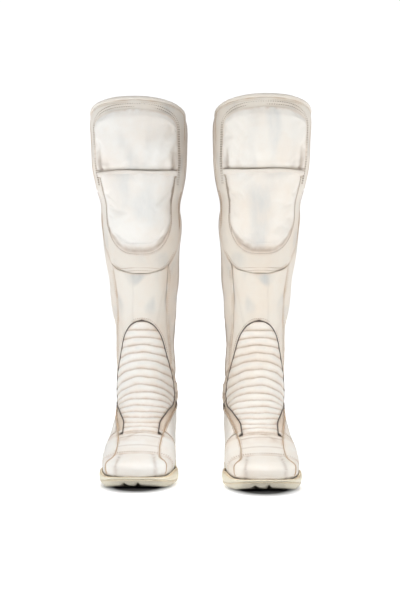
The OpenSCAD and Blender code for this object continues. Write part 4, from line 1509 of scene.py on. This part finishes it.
def pieces_of(side):
    """A boot's sewn and moulded pieces: name, builder, material, body, slot, CAD node."""
    leather, white = LEATHER_OF[side], WHITE_OF[side]
    notches = (-11.0, 4.0) if side == "left" else (11.0, -4.0)
    yield "toe_cap_leather", build_toe_cap, white, "foot", "white_leather", "toe_cap"
    yield "vamp_leather", build_vamp, white, "foot", "leather", "vamp"
    for part, outer, node in (("outer", True, "lateral"), ("inner", False, "medial")):
        yield ("quarter_" + part, lambda b: build_quarter(b, outer), white, "foot", "leather",
               "quarter_" + node)
    yield "heel_patch", build_heel_patch, tan, "foot", "tan_leather", "heel_counter"
    yield "foot_lining_cloth", build_foot_lining, lining_cloth, "foot", "lining", "foot_lining"
    yield ("outsole_rubber", lambda b: build_outsole(b, notches), cream_rubber, "foot",
           "rubber", "outsole")
    yield "heel_rubber", build_heel, cream_rubber, "foot", "rubber", "heel"
    yield "rand_rubber", build_rand, cream_rubber, "foot", "rubber", "rand"
    yield "crease_roll", build_crease, white, "foot", "white_leather"
    yield "instep_knit", build_gussets, stretch_knit, "ankle", "stretch", "instep_gussets"
    yield "instep_quilt", build_ribs, white, "ankle", "white_leather", "instep_ribs"
    yield "ankle_leather", build_ankle, leather, "ankle", "leather", "ankle_panels"
    yield "instep_cord", build_rib_cord, cord_dark, "ankle", "tan_leather"
    for sign, part in ((1, "outer"), (-1, "inner")):
        yield ("quarter_cord_" + part, lambda b: build_quarter_cord(b, sign), cord_dark,
               "foot", "tan_leather")
        yield ("foot_piping_" + part, lambda b: build_piping(b, sign), tan, "foot",
               "tan_leather")
    yield "foot_stitching", sew_foot, thread, "foot", "tan_leather"
    yield "shin_leather", build_shin, leather, "shaft", "leather", "shin_panel"
    yield "yoke_leather", build_yoke, leather, "shaft", "leather", "yoke"
    for part, outer, node in (("outer", True, "lateral"), ("inner", False, "medial")):
        yield ("calf_" + part, lambda b: build_calf(b, outer), leather, "shaft", "leather",
               "calf_" + node)
    yield "collar_roll", build_collar, leather, "shaft", "tan_leather", "collar_binding"
    yield "shaft_quilting", build_shaft_lining, lining_cloth, "shaft", "lining", "shaft_lining"
    yield "pocket_hem", build_hem, white, "shaft", "white_leather"
    yield "shaft_stitching", sew_shaft, thread, "shaft", "tan_leather"
    yield "ladder_stitching", sew_ladder, thread, "shaft", "tan_leather"


def make_boot(side):
    for name, *rest in pieces_of(side):
        make(side, name, *rest, merge=name == "toe_cap_leather")
    seed = 100 if side == "left" else 200
    for part, build, node in (("knee_cushion", build_knee, "knee_pad"),
                              ("shin_cushion", build_shin_pad, "shin_pad")):
        pad = make(side, part, lambda b: build(b, f"{side}_{part}", seed), WHITE_OF[side],
                   "shaft", "white_leather", node)
        smoother = pad.modifiers.new("Subdivision", "SUBSURF")
        smoother.levels = smoother.render_levels = 1
        seed += 10
    make(side, "zip_teeth", build_teeth, brass, "shaft", "zip_metal", "zip_chain")
    make(side, "zip_tape_cloth", build_tape, tape_cloth, "shaft", "tape", "zip_tape")
    for part, width in (("zip_slider", 0.3), ("zip_puller", 0.35)):
        obj = softened(f"{side}_{part}", width, brass)
        fit(obj, side, part.split("_")[1], "zip_metal", part)
    for node, material in HIDDEN.items():
        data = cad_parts[f"{side}_{node}"].data
        data.materials.clear()
        data.materials.append(material)


make_boot("left")
make_boot("right")

# ---- The stage, light and camera


SHADOW_PATCH_HALF = (0.054, 0.13)


def paper():
    """White paper with its own glow, and a painted contact shadow under and ahead of each sole,
    where the glow is off too.
    """
    # The dark base colour is the painted shadow; away from the soles it blends to white paper.
    p = Paint("floor_paper", (0.02, 0.02, 0.02), 0.9)
    clear = None
    for side in ("left", "right"):
        x, y, _ = placed(np.array([0, -190, 0.0]), side)
        near = p.vector("SUBTRACT", p.place, (float(x), float(y), 0))[0]
        size = p.vector("MULTIPLY", near, (1 / SHADOW_PATCH_HALF[0], 1 / SHADOW_PATCH_HALF[1], 0))[0]
        edge = p.span(p.vector("LENGTH", size)["Value"], 0.6, 1.1)
        clear = edge if clear is None else p.math("MULTIPLY", clear, edge)
    p.blend(clear, (0.95, 0.95, 0.95))
    p.put(p.shader.inputs["Emission Color"], (1, 1, 1, 1))
    glow = p.span(p.vector("LENGTH", p.place)["Value"], 0.3, 1.6, 0.42, 1.0)
    p.put(p.shader.inputs["Emission Strength"], p.math("MULTIPLY", clear, glow))
    return p.done()


FLOOR_HALF = 30
corners = [(x * FLOOR_HALF, y * FLOOR_HALF, 0) for x, y in ((-1, -1), (1, -1), (1, 1), (-1, 1))]
floor_mesh = bpy.data.meshes.new("floor")
floor_mesh.from_pydata(corners, [], [(0, 1, 2, 3)])
floor = bpy.data.objects.new("floor", floor_mesh)
bpy.context.scene.collection.objects.link(floor)
floor_mesh.materials.append(paper())

WORLD_LIGHT = 0.31
BACKDROP_LIGHT = 1.05
world = bpy.data.worlds.new("studio")
bpy.context.scene.world = world
world.use_nodes = True
world_tree = world.node_tree
glow = world_tree.nodes["Background"]
backdrop = world_tree.nodes.new("ShaderNodeBackground")
for shade, strength in ((glow, WORLD_LIGHT), (backdrop, BACKDROP_LIGHT)):
    shade.inputs["Color"].default_value = (1, 1, 1, 1)
    shade.inputs["Strength"].default_value = strength
seen = world_tree.nodes.new("ShaderNodeLightPath")
either = world_tree.nodes.new("ShaderNodeMixShader")
world_tree.links.new(seen.outputs["Is Camera Ray"], either.inputs[0])
world_tree.links.new(glow.outputs[0], either.inputs[1])
world_tree.links.new(backdrop.outputs[0], either.inputs[2])
world_tree.links.new(either.outputs[0], world_tree.nodes["World Output"].inputs[0])


def softbox(name, place, target, size, power_w, spread=180):
    light = bpy.data.lights.new(name, "AREA")
    light.energy = power_w
    light.size = size
    light.spread = math.radians(spread)
    obj = bpy.data.objects.new(name, light)
    bpy.context.scene.collection.objects.link(obj)
    obj.location = place
    aim = np.array(target, float) - np.array(place, float)
    tilt = math.atan2(math.hypot(aim[0], aim[1]), -aim[2])
    obj.rotation_euler = (tilt, 0, -math.atan2(aim[0], aim[1]))


softbox("key", (-0.8, -2.6, 2.0), (0, 0, 0.3), 1.6, 3)
softbox("top", (0, -0.3, 4.8), (0, 0, 0), 3.6, 72)
softbox("left", (-1.7, 0.1, 0.7), (0, 0, 0.3), 1.2, 3.5)
softbox("right", (1.7, 0.1, 0.7), (0, 0, 0.3), 1.2, 3)
softbox("feet", (0, -1.0, 0.95), (0, -0.1, 0.04), 0.6, 0.62, 36)

CAMERA_AWAY = 3.4
CAMERA_HEIGHT = 0.27
camera_data = bpy.data.cameras.new("camera")
camera_data.sensor_fit = "VERTICAL"
camera_data.sensor_height = 24
camera_data.lens = 91.4
camera = bpy.data.objects.new("camera", camera_data)
bpy.context.scene.collection.objects.link(camera)
camera.location = (0, -CAMERA_AWAY, CAMERA_HEIGHT)
camera.rotation_euler = (math.radians(90), 0, 0)
bpy.context.scene.camera = camera
bpy.context.scene.view_settings.view_transform = "Standard"
